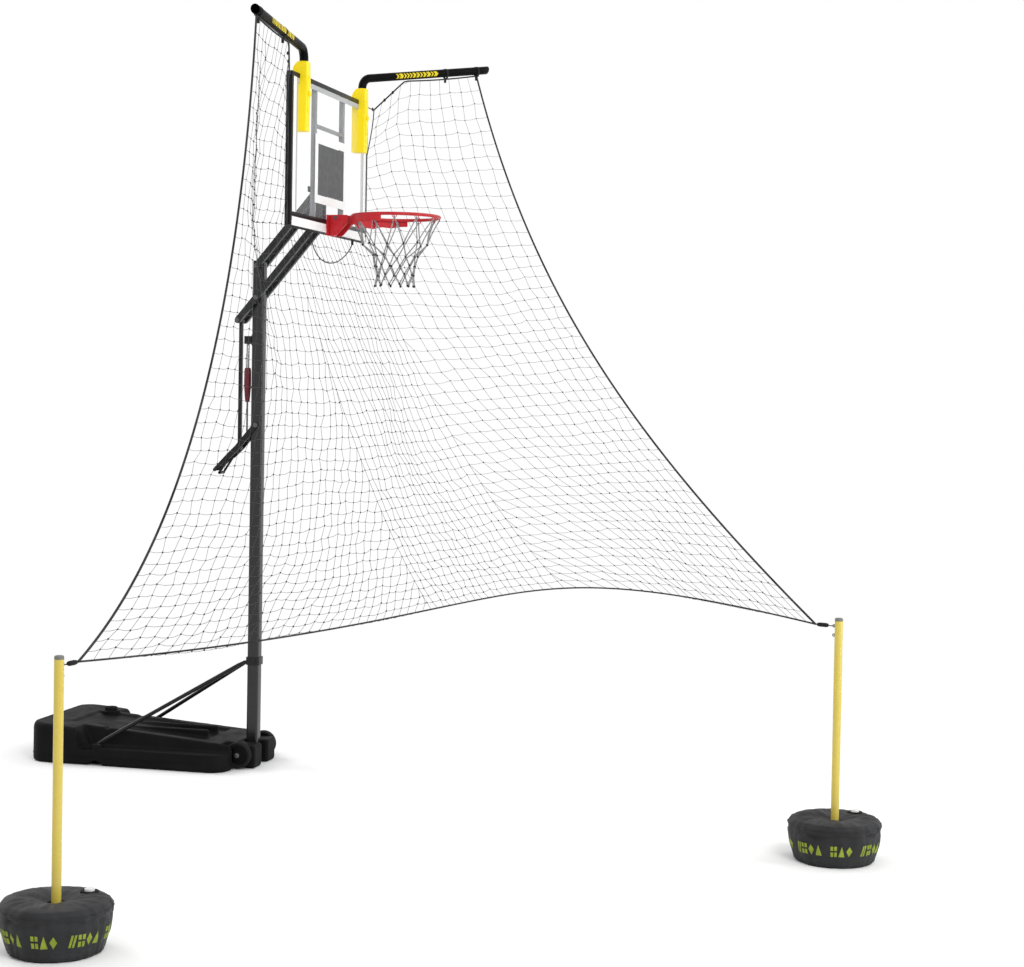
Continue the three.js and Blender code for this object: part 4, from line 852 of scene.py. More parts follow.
def add_handle():
    low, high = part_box("handle_lever")
    grip = centre("handle_grip")
    along = grip - LEVER_PIN
    along.x = 0
    reach = along.length
    along.normalize()
    side = X.cross(along)
    thickness = 0.008
    fork = LEVER_PIN + along * reach * 0.42
    grip_end = vec(0, grip.y, grip.z) + along * 0.012
    lever = Shape()
    for step, (a, b, depth) in enumerate((
        (LEVER_PIVOT, LEVER_PIN, 0.03), (LEVER_PIN, fork, 0.0294), (fork + side * 0.005, grip_end, 0.019),
    )):
        inset = step * 0.0004
        lever.plates(bar_outline(a, b, depth), high.x - thickness + inset, high.x - inset, 0.0012)
    spring_reach = 0.1
    spring_pin = LEVER_PIVOT + (LEVER_PIN - LEVER_PIVOT).normalized() * spring_reach
    for pin, radius in ((LEVER_PIN, 0.008), (spring_pin, 0.007)):
        lever.cross_pin(pin, low.x + 0.004, high.x - 0.004, radius)
    lever.piece("handle_lever_plates", "lift_handle", "black_steel", "handle_lever")

    inner = high.x - thickness - 0.0015
    trigger_end = LEVER_PIN + along * (reach + 0.004) + side * -0.03
    outline = bar_outline(fork - side * 0.006, trigger_end, 0.012)
    trigger = Shape().plates(outline, inner - 0.003, inner, 0.0008)
    trigger.cross_pin(trigger_end, -inner, inner, 0.0085)
    trigger.piece("handle_trigger", "lift_handle", "black_steel")

    radius = size("handle_grip").z / 2
    half = size("handle_grip").x / 2
    groove = radius * 0.9
    profile = [(0.006, -half), (radius * 0.86, -half), (radius, -half + 0.002)]
    for x in (lerp(-half + 0.008, half - 0.008, k / 8) for k in range(9)):
        profile += [(radius, x - 0.0024), (groove, x - 0.0012), (groove, x + 0.0012), (radius, x + 0.0024)]
    profile += [(radius, half - 0.002), (radius * 0.86, half), (0.006, half), (0.006, -half)]
    sleeve = Shape().turned(profile, 40, grip, X)
    sleeve.piece("handle_grip_sleeve", "lift_handle", "wheel_rubber", "handle_grip")


def add_gas_spring():
    low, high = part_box("spring_cylinder")
    at = vec((low.x + high.x) / 2, (low.y + high.y) / 2, 0)
    top = high.z
    Shape().turned([
        (0.0056, low.z), (0.0075, low.z), (0.0085, low.z + 0.002), (0.0085, top - 0.012),
        (0.007, top - 0.008), (0.0065, top - 0.006), (0.0065, top - 0.002), (0.005, top), (0.0, top),
    ], 36, at).piece("spring_barrel", "root", "zinc_steel", "spring_cylinder", "black_steel")
    low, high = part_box("spring_sleeve")
    Shape().turned([
        (0.009, low.z), (0.0118, low.z + 0.001), (0.015, low.z + 0.03), (0.0185, low.z + 0.075),
        (0.0195, low.z + 0.11), (0.019, high.z - 0.02), (0.017, high.z - 0.004), (0.0145, high.z),
        (0.009, high.z), (0.009, low.z),
    ], 36, at).piece("spring_sleeve_red", "root", "spring_red", "spring_sleeve")
    low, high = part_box("spring_rod")
    Shape().turned([
        (0.0, low.z), (0.0068, low.z), (0.0085, low.z + 0.002), (0.0085, low.z + 0.014),
        (0.006, low.z + 0.018), (0.005, low.z + 0.02), (0.005, high.z), (0.0, high.z),
    ], 28, at).piece("spring_rod_end", "spring_rod", "bolt_dark", "spring_rod")
    low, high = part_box("spring_bracket")
    pin = vec(0, at.y, top - 0.004)
    bracket = Shape().box(low, (high.x, low.y + 0.006, high.z), 0.0015)
    for side, (near, far) in zip((-1, 1), both(high.x - 0.005, high.x)):
        bracket.box((near, low.y, low.z + 0.008), (far, high.y, high.z - 0.008), 0.002)
        bracket.hex_head(pin + X * side * high.x, X * side, 0.008, 0.005)
    bracket.cross_pin(pin, low.x - 0.003, high.x + 0.003, 0.0045, 16)
    bracket.piece("spring_bracket_plates", "root", "black_steel", "spring_bracket")


# Board and rim

BOARD_BAR = 0.024
BAND_WIDTH = 0.046
TARGET_BAND = 0.045
RAIL_X = (0.215, 0.245)
HOOP_NET_SEED = 11


def add_board():
    low, high = BOARD_LOW, BOARD_HIGH
    bars = Shape()
    for x in (low.x, high.x - BOARD_BAR):
        bars.box((x, low.y, low.z), (x + BOARD_BAR, high.y, high.z), 0.0025)
    end = high.x - BOARD_BAR + 0.001
    for z in (low.z, high.z - BOARD_BAR):
        bars.box((-end, low.y + 0.0002, z), (end, high.y - 0.0002, z + BOARD_BAR), 0.0025)
    for side in (-1, 1):
        for z in (low.z + 0.012, high.z - 0.012):
            bars.hex_head(vec(side * (high.x - 0.012), low.y + 0.0004, z), -Y, 0.0045, 0.0024)
    bars.piece("board_frame_bars", "board", "board_black", "board_frame")

    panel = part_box("board_panel")
    Shape().box(*panel, 0.001).piece("clear_board", "board", "clear_panel", "board_panel")
    p_low, p_high = panel
    face = p_low.y - 0.0003
    skin = face - 0.0009
    bands = Shape()
    for near, far in both(p_high.x - BAND_WIDTH, p_high.x):
        bands.box((near, skin, p_low.z), (far, face, p_high.z))
    for near, far in both(p_high.x - 0.0016, p_high.x + 0.0004):
        bands.box((near, p_high.y + 0.0005, low.z + BOARD_BAR), (far, high.y - 0.001, high.z - BOARD_BAR))
    bands.piece("board_side_bands", "board", "white_trim")
    line_x = p_high.x - BAND_WIDTH - 0.0005
    lines = Shape()
    for near, far in ((-line_x, -line_x + 0.022), (line_x - 0.004, line_x)):
        lines.box((near, skin, p_low.z + 0.02), (far, face, p_high.z - 0.03))
    lines.box((-line_x, skin, p_high.z - 0.029), (line_x, face, p_high.z - 0.002))
    lines.piece("board_grey_lines", "board", "line_grey")

    t_low, t_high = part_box("bottom_trim")
    trim = Shape().box(t_low, (t_high.x, t_high.y, t_high.z - 0.024), 0.0006, 2)
    trim.box((t_low.x - 0.008, low.y - 0.0012, low.z + 0.001),
             (t_high.x + 0.008, low.y + 0.001, low.z + 0.026), 0.0008, 2)
    trim.piece("bottom_white_trim", "board", "white_trim", "bottom_trim")
    line = Shape().box((t_low.x, t_low.y - 0.0006, t_high.z - 0.0245), t_high, 0.0004, 2)
    line.piece("bottom_black_line", "board", "board_black")

    o_low, o_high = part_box("target_outline")
    band = TARGET_BAND
    outline = Shape()
    for a, b, c, d in (
        (o_low.x, o_low.x + band, o_low.z, o_high.z), (o_high.x - band, o_high.x, o_low.z, o_high.z),
        (o_low.x + band, o_high.x - band, o_low.z, o_low.z + band),
        (o_low.x + band, o_high.x - band, o_high.z - band, o_high.z),
    ):
        outline.box((a, o_low.y, c), (b, o_high.y, d))
    outline.piece("target_white_outline", "board", "white_trim", "target_outline")
    t_low, t_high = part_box("target_panel")
    inset = vec(0.004, 0, 0.004)
    target = Shape().box(t_low + inset, t_high - inset)
    target.piece("target_grey_field", "board", "target_grey", "target_panel")

    r_low, r_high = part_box("board_rear_frame")
    b_low, b_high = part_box("board_bracket")
    rails = Shape()
    for near, far in both(*RAIL_X):
        rails.box((near, r_low.y, r_low.z), (far, r_high.y, r_high.z), 0.004)
    end = RAIL_X[0] + 0.0005
    for z, height, depth in (
        (r_low.z, 0.03, 0.0375), (b_high.z - 0.03, 0.03, 0.0375), (o_high.z + 0.036, 0.02, 0.02),
    ):
        rails.box((-end, r_low.y + 0.0005, z), (end, r_low.y + depth, z + height), 0.004)
    rails.piece("board_rear_rails", "board", "rail_grey", "board_rear_frame")

    bracket = Shape()
    for z in (b_low.z, b_high.z - 0.03):
        bracket.box((b_low.x, b_low.y, z), (b_high.x, b_low.y + 0.008, z + 0.03), 0.0015)
        for side in (-1, 1):
            bracket.hex_head(vec(side * 0.23, b_low.y + 0.008, z + 0.015), Y, 0.009, 0.007)
    bracket.plates([
        (0, b_low.y + 0.004, b_low.z), (0, b_high.y - 0.012, b_low.z), (0, b_high.y, b_low.z + 0.012),
        (0, b_high.y, b_high.z - 0.012), (0, b_high.y - 0.012, b_high.z), (0, b_low.y + 0.004, b_high.z),
    ], 0.028, 0.039, 0.0012)
    bracket.piece("board_bracket_plates", "board", "black_steel", "board_bracket")


def add_rim():
    low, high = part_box("rim_mount")
    back = high.y
    pivot = JOINTS["rim_flex"]
    mount = Shape().box((low.x, back - 0.006, low.z), high, 0.0025)
    mount.box((-0.0435, back - 0.058, high.z - 0.0018), (0.0435, back - 0.004, high.z), 0.0006, 2)
    mount.plates(soften([(0, y, z) for y, z in (
        (back - 0.004, low.z + 0.001), (back - 0.004, high.z - 0.0005), (low.y, high.z - 0.0005),
        (low.y, pivot.z - 0.026), (back - 0.062, low.z + 0.013), (back - 0.046, low.z + 0.001),
    )], 0.012, 4), 0.0433, 0.0513, 0.0018)
    mount.plates(soften([(0, y, z) for y, z in (
        (back - 0.012, low.z + 0.016), (back - 0.012, high.z - 0.034), (low.y + 0.024, high.z - 0.034),
        (low.y + 0.024, high.z - 0.05), (back - 0.05, low.z + 0.016),
    )], 0.008), 0.0505, 0.0532, 0.001)
    for side in (-1, 1):
        for z in (low.z + 0.018, high.z - 0.02):
            mount.hex_head(vec(side * 0.0635, back - 0.0058, z), -Y, 0.0075, 0.005)
    mount.box((-0.043, back - 0.03, low.z + 0.004), (0.043, back - 0.004, low.z + 0.046), 0.006)
    mount.piece("rim_mount_plates", "board", "rim_red", "rim_mount")

    hoop = Shape().loft([
        circle(RING_CENTRE + out * RING_RADIUS, out, Z, RING_ROD, 20)
        for out in (around(TURN * i / 144) for i in range(144))
    ], looped=True)
    near = RING_CENTRE.y + RING_RADIUS
    hoop.loft([
        [vec(side * half, y, pivot.z + z) for side, z in ((-1, bottom), (1, bottom), (1, top), (-1, top))]
        for y, half, top, bottom in (
            (pivot.y + 0.0125, 0.04, 0.004, -0.004), (pivot.y + 0.009, 0.0425, 0.011, -0.011),
            (pivot.y - 0.004, 0.043, 0.0128, -0.014), (near + 0.04, 0.0428, 0.0125, -0.027),
            (near + 0.008, 0.0425, 0.0118, -0.033), (near + 0.005, 0.042, 0.0116, -0.0335),
            (near + 0.0048, 0.041, 0.0115, -0.001), (near - 0.004, 0.04, 0.0105, 0.003),
        )
    ])
    outer = RING_RADIUS + RING_ROD
    for side in (-1, 1):
        strip = []
        for share in (i / 40 for i in range(41)):
            out = around(math.radians(90 - side * lerp(8, 88, share)))
            wave = 0.004 * math.sin(TURN * share * 3) * math.sin(math.pi * share)
            floor = -RING_ROD - lerp(0.05, 0.026, share) - wave
            strip.append([RING_CENTRE + out * (outer - inset) + Z * z for inset, z in (
                (0.0035, floor + 0.0008), (0.0028, floor), (0.0008, floor), (0, floor + 0.0008), (0, -0.001),
                (0.0035, -0.001),
            )])
        hoop.loft(strip)
    for turn in (TURN * (k + 0.5) / 12 for k in range(12)):
        at = RING_CENTRE + around(turn) * RING_RADIUS - Z * (RING_ROD + 0.002)
        beside = around(turn + TURN / 4)
        hoop.tube([at + beside * reach - Z * drop for reach, drop in (
            (0.012, -0.004), (0.011, 0.004), (0.006, 0.009),
            (-0.006, 0.009), (-0.011, 0.004), (-0.012, -0.004),
        )], 0.0022, 8)
    hoop.piece("rim_ring", "rim", "rim_red", "rim")


def add_hoop_net():
    # Each row of knots: its radius, its height from the ring, and its turn in cells
    rows = ((0.2370, -0.0165, 0.5), (0.182, -0.15, 0.0), (0.124, -0.215, 0.5), (0.108, -0.268, 0.0),
            (0.103, -0.32, 0.5), (0.108, -0.374, 0.0))
    chance = random.Random(HOOP_NET_SEED)
    knots = []
    for r, (radius, z, turned_by) in enumerate(rows):
        loose = 0.006 if r else 0.0
        row = []
        for k in range(12):
            turn = TURN * (k + turned_by) / 12 + chance.uniform(-loose, loose) * 8
            out = radius + chance.uniform(-loose, loose)
            row.append(RING_CENTRE + around(turn) * out + Z * (z + chance.uniform(-loose, loose)))
        knots.append(row)
    net = Shape(60)
    ties = Shape(60)
    for r, (upper, lower) in enumerate(zip(knots, knots[1:])):
        for k, start in enumerate(upper):
            for partner in (k, (k + (1 if rows[r][2] else -1)) % 12):
                end = lower[partner]
                out = (start + end) / 2 - RING_CENTRE
                out.z = 0
                bow = out.normalized() * (start - end).length * 0.12 * (0.5 if r else -1)
                cord = [start.lerp(end, t) + bow * t * (1 - t) for t in (0, 0.2, 0.4, 0.6, 0.8, 1)]
                net.tube(cord, 0.0033, 8)
    for r, row in enumerate(knots):
        for knot in row:
            if r:
                ties.ball(knot, 0.0062, 6, 10, 1.3)
            else:
                net.tube([knot + Z * 0.006, knot - Z * 0.006], 0.0038, 8)
    net.piece("hoop_net_strands", "rim", "hoop_cord", "hoop_net")
    ties.piece("hoop_net_knots", "rim", "net_knot", slot="hoop_cord")


# Return arms

ARM_RADIUS = 0.0235
ARM_WALL = 0.0025
ARM_BEND = 0.062
ARM_Z = 3.882
ARM_SLANT = 0.32
CLAMP_X = 0.49
CLAMP_Y = -0.417
SOCKET_Z = 3.766
# Each arm's heading and rise in degrees, and its span
ARMS = {"left": (186.0, 1.8, 0.985), "right": (-33.0, 9.6, 0.99)}
# Where the motif starts and ends, and where the straps sit, as shares of an arm's straight part
ARM_MOTIF = {"left": (0.27, 0.74), "right": (0.21, 0.54)}
STRAPS = {"left": (0.42, 0.93), "right": (0.63, 0.9)}
ARM_MOTIF_SEED = 5
ARM_MOTIF_GAP = 0.0105
ARM_MOTIF_LEAN = 0.011
# How far the motif reaches up and down an arm's side, in degrees
ARM_MOTIF_REACH = 36


def arm_path(x, turn, rise, span, steps=12):
    level = around(math.radians(turn))
    path = [vec(x, CLAMP_Y, SOCKET_Z)]
    for a in (math.radians((90 - rise) * i / steps) for i in range(steps + 1)):
        height = ARM_Z - ARM_BEND + ARM_BEND * math.sin(a)
        path.append(vec(x, CLAMP_Y, height) + level * ARM_BEND * (1 - math.cos(a)))
    heading = level * math.cos(math.radians(rise)) + Z * math.sin(math.radians(rise))
    path.append(path[-1] + heading * (span - ARM_BEND))
    return path


PATHS = {side: arm_path(sign * CLAMP_X, *ARMS[side]) for side, sign in SIDES}


def arm_axes(side):
    """Where an arm's straight part starts, its length, and its directions along, level and upward."""
    bend, end = PATHS[side][-2:]
    along = (end - bend).normalized()
    level = along.cross(Z).normalized()
    return bend, (end - bend).length, along, level, level.cross(along)


def add_return_arm(side):
    bend, span, along, level, upward = arm_axes(side)
    path = PATHS[side]
    rings = []
    for i, point in enumerate(path[:-1]):
        heading = (path[i + 1] - path[i - 1]).normalized() if i else Z
        rings.append(circle(point, level.cross(heading).normalized(), level, ARM_RADIUS, 32))
    slanted = upward + along * ARM_SLANT
    tip = path[-1] - along * ARM_RADIUS * ARM_SLANT
    inner = ARM_RADIUS - ARM_WALL
    rings += [circle(bend + along * span * t, upward, level, ARM_RADIUS, 32) for t in (0.25, 0.5, 0.75, 0.93)]
    rings += [circle(tip - along * back, up, level, radius, 32) for back, up, radius in (
        (0.0008, slanted, ARM_RADIUS), (0, slanted, ARM_RADIUS - 0.0008), (0, slanted, inner),
        (0.12, upward, inner),
    )]
    Shape(50).loft(rings).piece("return_arm_tube_" + side, "board", "arm_black", "return_arm_" + side)

    prints = Shape()
    chance = random.Random(ARM_MOTIF_SEED)
    lean = ARM_MOTIF_LEAN / span
    reach = ARM_MOTIF_REACH
    for face in (-1, 1):
        place, last = ARM_MOTIF[side]
        while place < last:
            width = chance.choice((0.012, 0.018, 0.024)) / span
            for lowest in (-reach, 0):
                grid = []
                for turn in (lowest + reach * i / 5 for i in range(6)):
                    angle = math.radians(turn)
                    out = level * face * math.cos(angle) + upward * math.sin(angle)
                    start = place - lean * abs(turn) / reach
                    grid.append([
                        bend + along * span * (start + width * g) + out * (ARM_RADIUS + 0.0005)
                        for g in (0, 0.5, 1)
                    ])
                prints.loft(grid, capped=False, open_ring=True)
            place += width + ARM_MOTIF_GAP / span
    prints.piece("arm_motif_" + side, "board", "arm_print")


def add_clamp(side, sign):
    """The clamp that holds an arm on the board's frame, and its bolt's knob."""
    x = sign * CLAMP_X
    node = "arm_clamp_" + side
    low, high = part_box(node)
    top = BOARD_HIGH.z
    clamp = Shape().prism(soften([(0, y, z) for y, z in (
        (low.y + 0.002, low.z), (low.y, top - 0.04), (low.y + 0.0015, high.z),
        (CLAMP_Y + ARM_RADIUS + ARM_WALL, high.z), (high.y, high.z - 0.032), (high.y, low.z),
    )], 0.006), low.x, high.x, X, 0.004, 4)
    bore = ARM_RADIUS + 0.0006
    clamp.turned([
        (bore, -0.003), (0.029, -0.003), (0.029, 0.004), (0.0275, 0.0055), (bore, 0.0055), (bore, -0.003),
    ], 40, (x, CLAMP_Y, high.z - 0.0045))
    clamp.prism([(x + dx, 0, z) for dx, z in (
        (-0.014, low.z + 0.11), (0.0, low.z + 0.1), (0.014, low.z + 0.11), (0.014, top - 0.02),
        (0.008, top - 0.006), (-0.008, top - 0.006), (-0.014, top - 0.02),
    )], low.y - 0.0035, low.y + 0.001, Y, 0.0012)
    for z in (low.z + 0.03, low.z + 0.065):
        clamp.box((low.x + 0.012, low.y - 0.0015, z), (high.x - 0.012, low.y + 0.001, z + 0.005), 0.001, 2)
    clamp.piece("arm_clamp_body_" + side, "board", "yellow_paint", node)
    node = "clamp_bolt_" + side
    at = vec(x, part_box(node)[1].y + 0.0003, centre(node).z)
    Shape().loft(ridged(at, -Y, X, Z, [
        (0.0085, 0), (0.0085, 0.003), (0.0145, 0.004), (0.0155, 0.006), (0.0155, 0.0105), (0.013, 0.012),
    ], 48, lambda k: k % 6 < 3, 0.0014, 0.012)).piece("clamp_knob_" + side, "board", "yellow_paint", node)


# Return net

NET_CELL = 0.075
NET_CORD = 0.0009
KNOT_RADIUS = 0.0034
ROPE_RADIUS = 0.0052
CORD_DROOP = 0.045
BOARD_HALF = 0.635
BOARD_TOP = 3.749
NET_TOP_Z = 2.944
CORNER_Z = 1.068
# The share of the lower net's width that is beyond the board on either side
WING_SHARE = 0.36
# A wing's top inner corner, and the height where its inner edge reaches the board
WING_CORNER = {"left": vec(-0.663, -0.4, 3.735), "right": vec(0.69, -0.425, 3.722)}
WING_MEETS = 3.38
# Where the top rope leaves the arm: its share there, and the way back from the arm's end
WING_TURN = 0.74
TURN_BACK = 0.66
WING_ROWS = 13
LOWER_ROWS = 35
MIDDLE_COLUMNS = 18
WING_SEEDS = {"left": 3, "right": 4}
LOWER_SEED = 9
NET_SAG = 0.18
WING_RIPPLE = 0.075
LOWER_RIPPLE = 0.08
RIPPLE_SCALE = 1.35
# The middle control points of the hem and of the outer ropes
HEM = (vec(-1.131, -1.684, 0.981), vec(1.351, -1.145, 1.122))
BOWS = {
    "left": (vec(-1.702, -0.569, 2.681), vec(-2.307, -0.608, 1.493)),
    "right": (vec(0.841, -1.326, 2.744), vec(0.048, -2.07, 1.888)),
}
# How far back from an arm's end its outer rope is tied
TIE_BACK = {"left": 0.03, "right": 0.09}
HOOK_REACH = 0.118
# Each bag's place, and the direction of its hook in degrees
BAGS = {"left": (vec(-3.64, -0.63, 0), -10.0), "right": (vec(-1.285, -3.32, 0), 68.0)}


def cubic(a, b, c, d, t):
    s = 1 - t
    return a * s ** 3 + b * 3 * s * s * t + c * 3 * s * t * t + d * t ** 3


def net_corner(side):
    foot, turn = BAGS[side]
    return foot + around(math.radians(turn)) * HOOK_REACH + Z * CORNER_Z


def arm_tie(side):
    bend, end = PATHS[side][-2:]
    return end - (end - bend).normalized() * TIE_BACK[side] - Z * (ARM_RADIUS + 0.007)


CORNERS = {side: net_corner(side) for side, _ in SIDES}
TIES = {side: arm_tie(side) for side, _ in SIDES}


def edge(side, t):
    """The net's outer rope on one side, from its arm to its lower corner."""
    return cubic(TIES[side], *BOWS[side], CORNERS[side], t)


def share_above(side, z):
    """The share of the outer rope that is above a height."""
    low, high = 0.0, 1.0
    for _ in range(40):
        middle = (low + high) / 2
        if edge(side, middle).z > z:
            low = middle
        else:
            high = middle
    return low


SHARES = {side: share_above(side, NET_TOP_Z) for side, _ in SIDES}
ENDS = {side: edge(side, SHARES[side]) for side, _ in SIDES}
BOARD_LEFT = vec(-BOARD_HALF, BOARD_MIDDLE_Y, NET_TOP_Z)
BOARD_RIGHT = vec(BOARD_HALF, BOARD_MIDDLE_Y, NET_TOP_Z)


def top_row(u):
    if u < WING_SHARE:
        return ENDS["left"].lerp(BOARD_LEFT, u / WING_SHARE)
    if u > 1 - WING_SHARE:
        return BOARD_RIGHT.lerp(ENDS["right"], (u - 1 + WING_SHARE) / WING_SHARE)
    return BOARD_LEFT.lerp(BOARD_RIGHT, (u - WING_SHARE) / (1 - 2 * WING_SHARE))


def lower_surface(u, v):
    """The lower net, from its left rope to its right one and from the board's bottom to the hem."""
    point = top_row(u).lerp(cubic(CORNERS["left"], *HEM, CORNERS["right"], u), v)
    point.z -= 4 * v * (1 - v) * NET_SAG * math.sin(math.pi * u)
    for side, weight in (("left", (1 - u) ** 3), ("right", u ** 3)):
        rope = edge(side, lerp(SHARES[side], 1, v))
        point += (rope - ENDS[side].lerp(CORNERS[side], v)) * weight
    return point


def ripple(point, amount):
    """A gentle unevenness of the hanging net."""
    spot = point * RIPPLE_SCALE
    return vec(
        noise.noise(spot + X * 3.1), noise.noise(spot + Y * 7.7) * 1.3, noise.noise(spot + Z * 5.3) * 0.5,
    ) * amount


def spaced(curve, cell):
    """Points a cell apart along a curve of many points, and the curve's last point."""
    total = path_length(curve)
    points = [curve[0]]
    walked = 0.0
    goal = cell
    for a, b in zip(curve, curve[1:]):
        step = (b - a).length
        while step > 0 and walked + step >= goal and goal < total - cell * 0.3:
            points.append(a.lerp(b, (goal - walked) / step))
            goal += cell
        walked += step
    return [*points, curve[-1]]


class Netting:
    """Rows of knots joined by cords along and across."""

    def __init__(self, seed):
        self.cords = Shape(60)
        self.knots = Shape(60)
        self.chance = random.Random(seed)

    def cord(self, points, droop=0.0):
        path = [points[0]]
        for a, b in zip(points, points[1:]):
            middle = (a + b) / 2
            middle.z -= droop * (b - a).length
            path += [middle, b]
        if len(path) > 1:
            self.cords.tube(path, NET_CORD, 6)

    def knot(self, at):
        self.knots.ball(at, KNOT_RADIUS * self.chance.uniform(0.8, 1.15), 4, 7, 1.2)

    def loosen(self, rows, amount=0.007):
        """Shifts the knots within the net a little."""
        for row in rows[1:-1]:
            for k in range(1, len(row) - 1):
                row[k] += Vector([self.chance.uniform(-amount, amount) for _ in range(3)])

    def knit(self, rows):
        """Rows run out from the outer rope, so cell k of one row lies over cell k of the next."""
        self.loosen(rows)
        for row in rows:
            self.cord(row, CORD_DROOP)
            for point in row[1:-1]:
                self.knot(point)
        for k in range(1, max(len(row) for row in rows)):
            run = []
            for row in rows:
                if k < len(row) - 1:
                    run.append(row[k])
                elif run:
                    self.cord([*run, row[-1]])
                    run = []
            if len(run) > 1:
                first = next(i for i, row in enumerate(rows) if len(row) - 1 > k)
                self.cord(([rows[first - 1][-1]] if first else []) + run)

    def pieces(self, mesh_name, knots_name, body, node):
        return (self.cords.piece(mesh_name, body, "net_cord", node),
                self.knots.piece(knots_name, body, "net_knot"))


def wing_rows(side, sign):
    """The rows of a wing from its outer rope to the board's side."""
    bend, end = PATHS[side][-2:]
    start = edge(side, 0)
    turn = start + (bend - end).normalized() * (TURN_BACK - TIE_BACK[side])
    corner = WING_CORNER[side]
    board_x = sign * (BOARD_HALF + 0.004)
    met = (BOARD_TOP - WING_MEETS) / (BOARD_TOP - NET_TOP_Z)

    def inner(v):
        if v >= met:
            return vec(board_x, BOARD_MIDDLE_Y, lerp(BOARD_TOP, NET_TOP_Z, v))
        t = v / met
        bow = X * sign * 0.03 * math.sin(math.pi * t) * (1 - t)
        return corner.lerp(vec(board_x, BOARD_MIDDLE_Y, WING_MEETS), t) + bow

    def top(u):
        if u < WING_TURN:
            return start.lerp(turn, u / WING_TURN) - Z * (0.006 * math.sin(math.pi * u / WING_TURN))
        return turn.lerp(inner(0), (u - WING_TURN) / (1 - WING_TURN))

    rows = []
    for v in (j / WING_ROWS for j in range(WING_ROWS + 1)):
        rows.append([])
        for u in (i / 60 for i in range(61)):
            flat = edge(side, SHARES[side] * v).lerp(inner(v), u)
            point = flat + (top(u) - start.lerp(inner(0), u)) * (1 - v) ** 2
            rows[-1].append(point + ripple(point, WING_RIPPLE * math.sin(math.pi * u) * smooth(v * 2.5)))
    return rows


def lower_rows(low_u, high_u, fixed_top=False):
    """Rows of a third of the lower net from u low to u high."""
    rows = []
    for v in (j / LOWER_ROWS for j in range(LOWER_ROWS + 1)):
        held = smooth((1 - v) * 5)
        amount = held * smooth(v * 1.8) if fixed_top else 0.4 + 0.6 * held
        rows.append([])
        for t in (i / 80 for i in range(81)):
            point = lower_surface(lerp(low_u, high_u, t), v)
            rows[-1].append(point + ripple(point, LOWER_RIPPLE * math.sin(math.pi * t) * amount))
    return rows


def add_wing(side, sign):
    """The net between an arm and the board's side, with its ropes."""
    curves = wing_rows(side, sign)
    wing = Netting(WING_SEEDS[side])
    wing.knit([spaced(curve, NET_CELL) for curve in curves])
    wing.pieces("wing_mesh_" + side, "wing_knots_" + side, "board", "net_wing_" + side)
    outer = [edge(side, SHARES[side] * i / 24) for i in range(25)]
    top = resample(curves[0], 0.03)
    inner = [curve[-1] for curve in curves]
    ropes = Shape(60).tube([edge(side, 0) + Z * 0.008, *outer], ROPE_RADIUS, 10)
    ropes.tube(top, ROPE_RADIUS * 0.85, 10).tube(inner, ROPE_RADIUS * 0.6, 10)
    corner = inner[0]
    post = vec(sign * (BOARD_HALF + 0.001), BOARD_MIDDLE_Y, BOARD_TOP - 0.012)
    ropes.tube(arc(corner.lerp(post, 0.16), X, Z, 0.009, 0, 345, 14), 0.0024, 8, looped=True)
    ropes.tube([corner, corner.lerp(post, 0.5) - Z * 0.003, post], 0.003, 8)
    ropes.box(post - vec(0.007, 0.009, 0.012), post + vec(0.007, 0.009, 0.01), 0.002)
    tied_off = top[-9]
    for share in (0.35, 0.62):
        ropes.ball(corner.lerp(tied_off, share), 0.0075, 6, 10, 1.3)
    ropes.piece("wing_ropes_" + side, "board", "rope_black")
    add_arm_straps(side)


def add_arm_straps(side):
    """Loops of black tape that tie the net's top rope to an arm."""
    bend, span, along, level, upward = arm_axes(side)
    straps = Shape()
    for at in (bend + along * span * t for t in STRAPS[side]):
        rings = []
        for a in (TURN * k / 28 for k in range(28)):
            out = upward * math.cos(a) + level * math.sin(a)
            drop = max(0.0, -math.cos(a)) ** 6 * 0.012
            middle = at + out * (ARM_RADIUS + 0.0012) - upward * drop
            rings.append([
                middle + along * 0.008 * u + out * 0.0008 * v for u, v in ((1, 1), (-1, 1), (-1, -1), (1, -1))
            ])
        straps.loft(rings, looped=True)
        under = at - Z * ARM_RADIUS
        straps.box(under - vec(0.008, 0.006, 0.034), under + vec(0.008, 0.006, -0.004), 0.003)
    straps.piece("arm_straps_" + side, "board", "strap_black")


def add_lower_net():
    lower = Netting(LOWER_SEED)
    for low_u, high_u in ((0.0, WING_SHARE), (1.0, 1 - WING_SHARE)):
        lower.knit([spaced(curve, NET_CELL) for curve in lower_rows(low_u, high_u)])
    middle = []
    for curve in lower_rows(WING_SHARE, 1 - WING_SHARE, True):
        cell = path_length(curve) / MIDDLE_COLUMNS * 0.9999
        middle.append(spaced(curve, cell)[:MIDDLE_COLUMNS] + [curve[-1]])
    lower.loosen(middle)
    for row in middle:
        lower.cord(row, CORD_DROOP)
    for column in zip(*middle):
        lower.cord(column)
    for row in middle:
        for point in row:
            lower.knot(point)
    nets = lower.pieces("return_net_mesh", "return_net_knots", "root", "return_net")
    ropes = Shape(60)
    for side, _ in SIDES:
        ropes.tube([edge(side, lerp(SHARES[side], 1, i / 70)) for i in range(71)], ROPE_RADIUS, 10)
    ropes.tube([lower_surface(i / 120, 1.0) for i in range(121)], ROPE_RADIUS * 0.75, 10)
    ropes.tube([BOARD_LEFT.lerp(BOARD_RIGHT, i / 20) for i in range(21)], ROPE_RADIUS * 0.7, 8)
    for soft in (*nets, ropes.piece("return_net_ropes", "root", "rope_black")):
        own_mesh(soft)


# Poles and bags

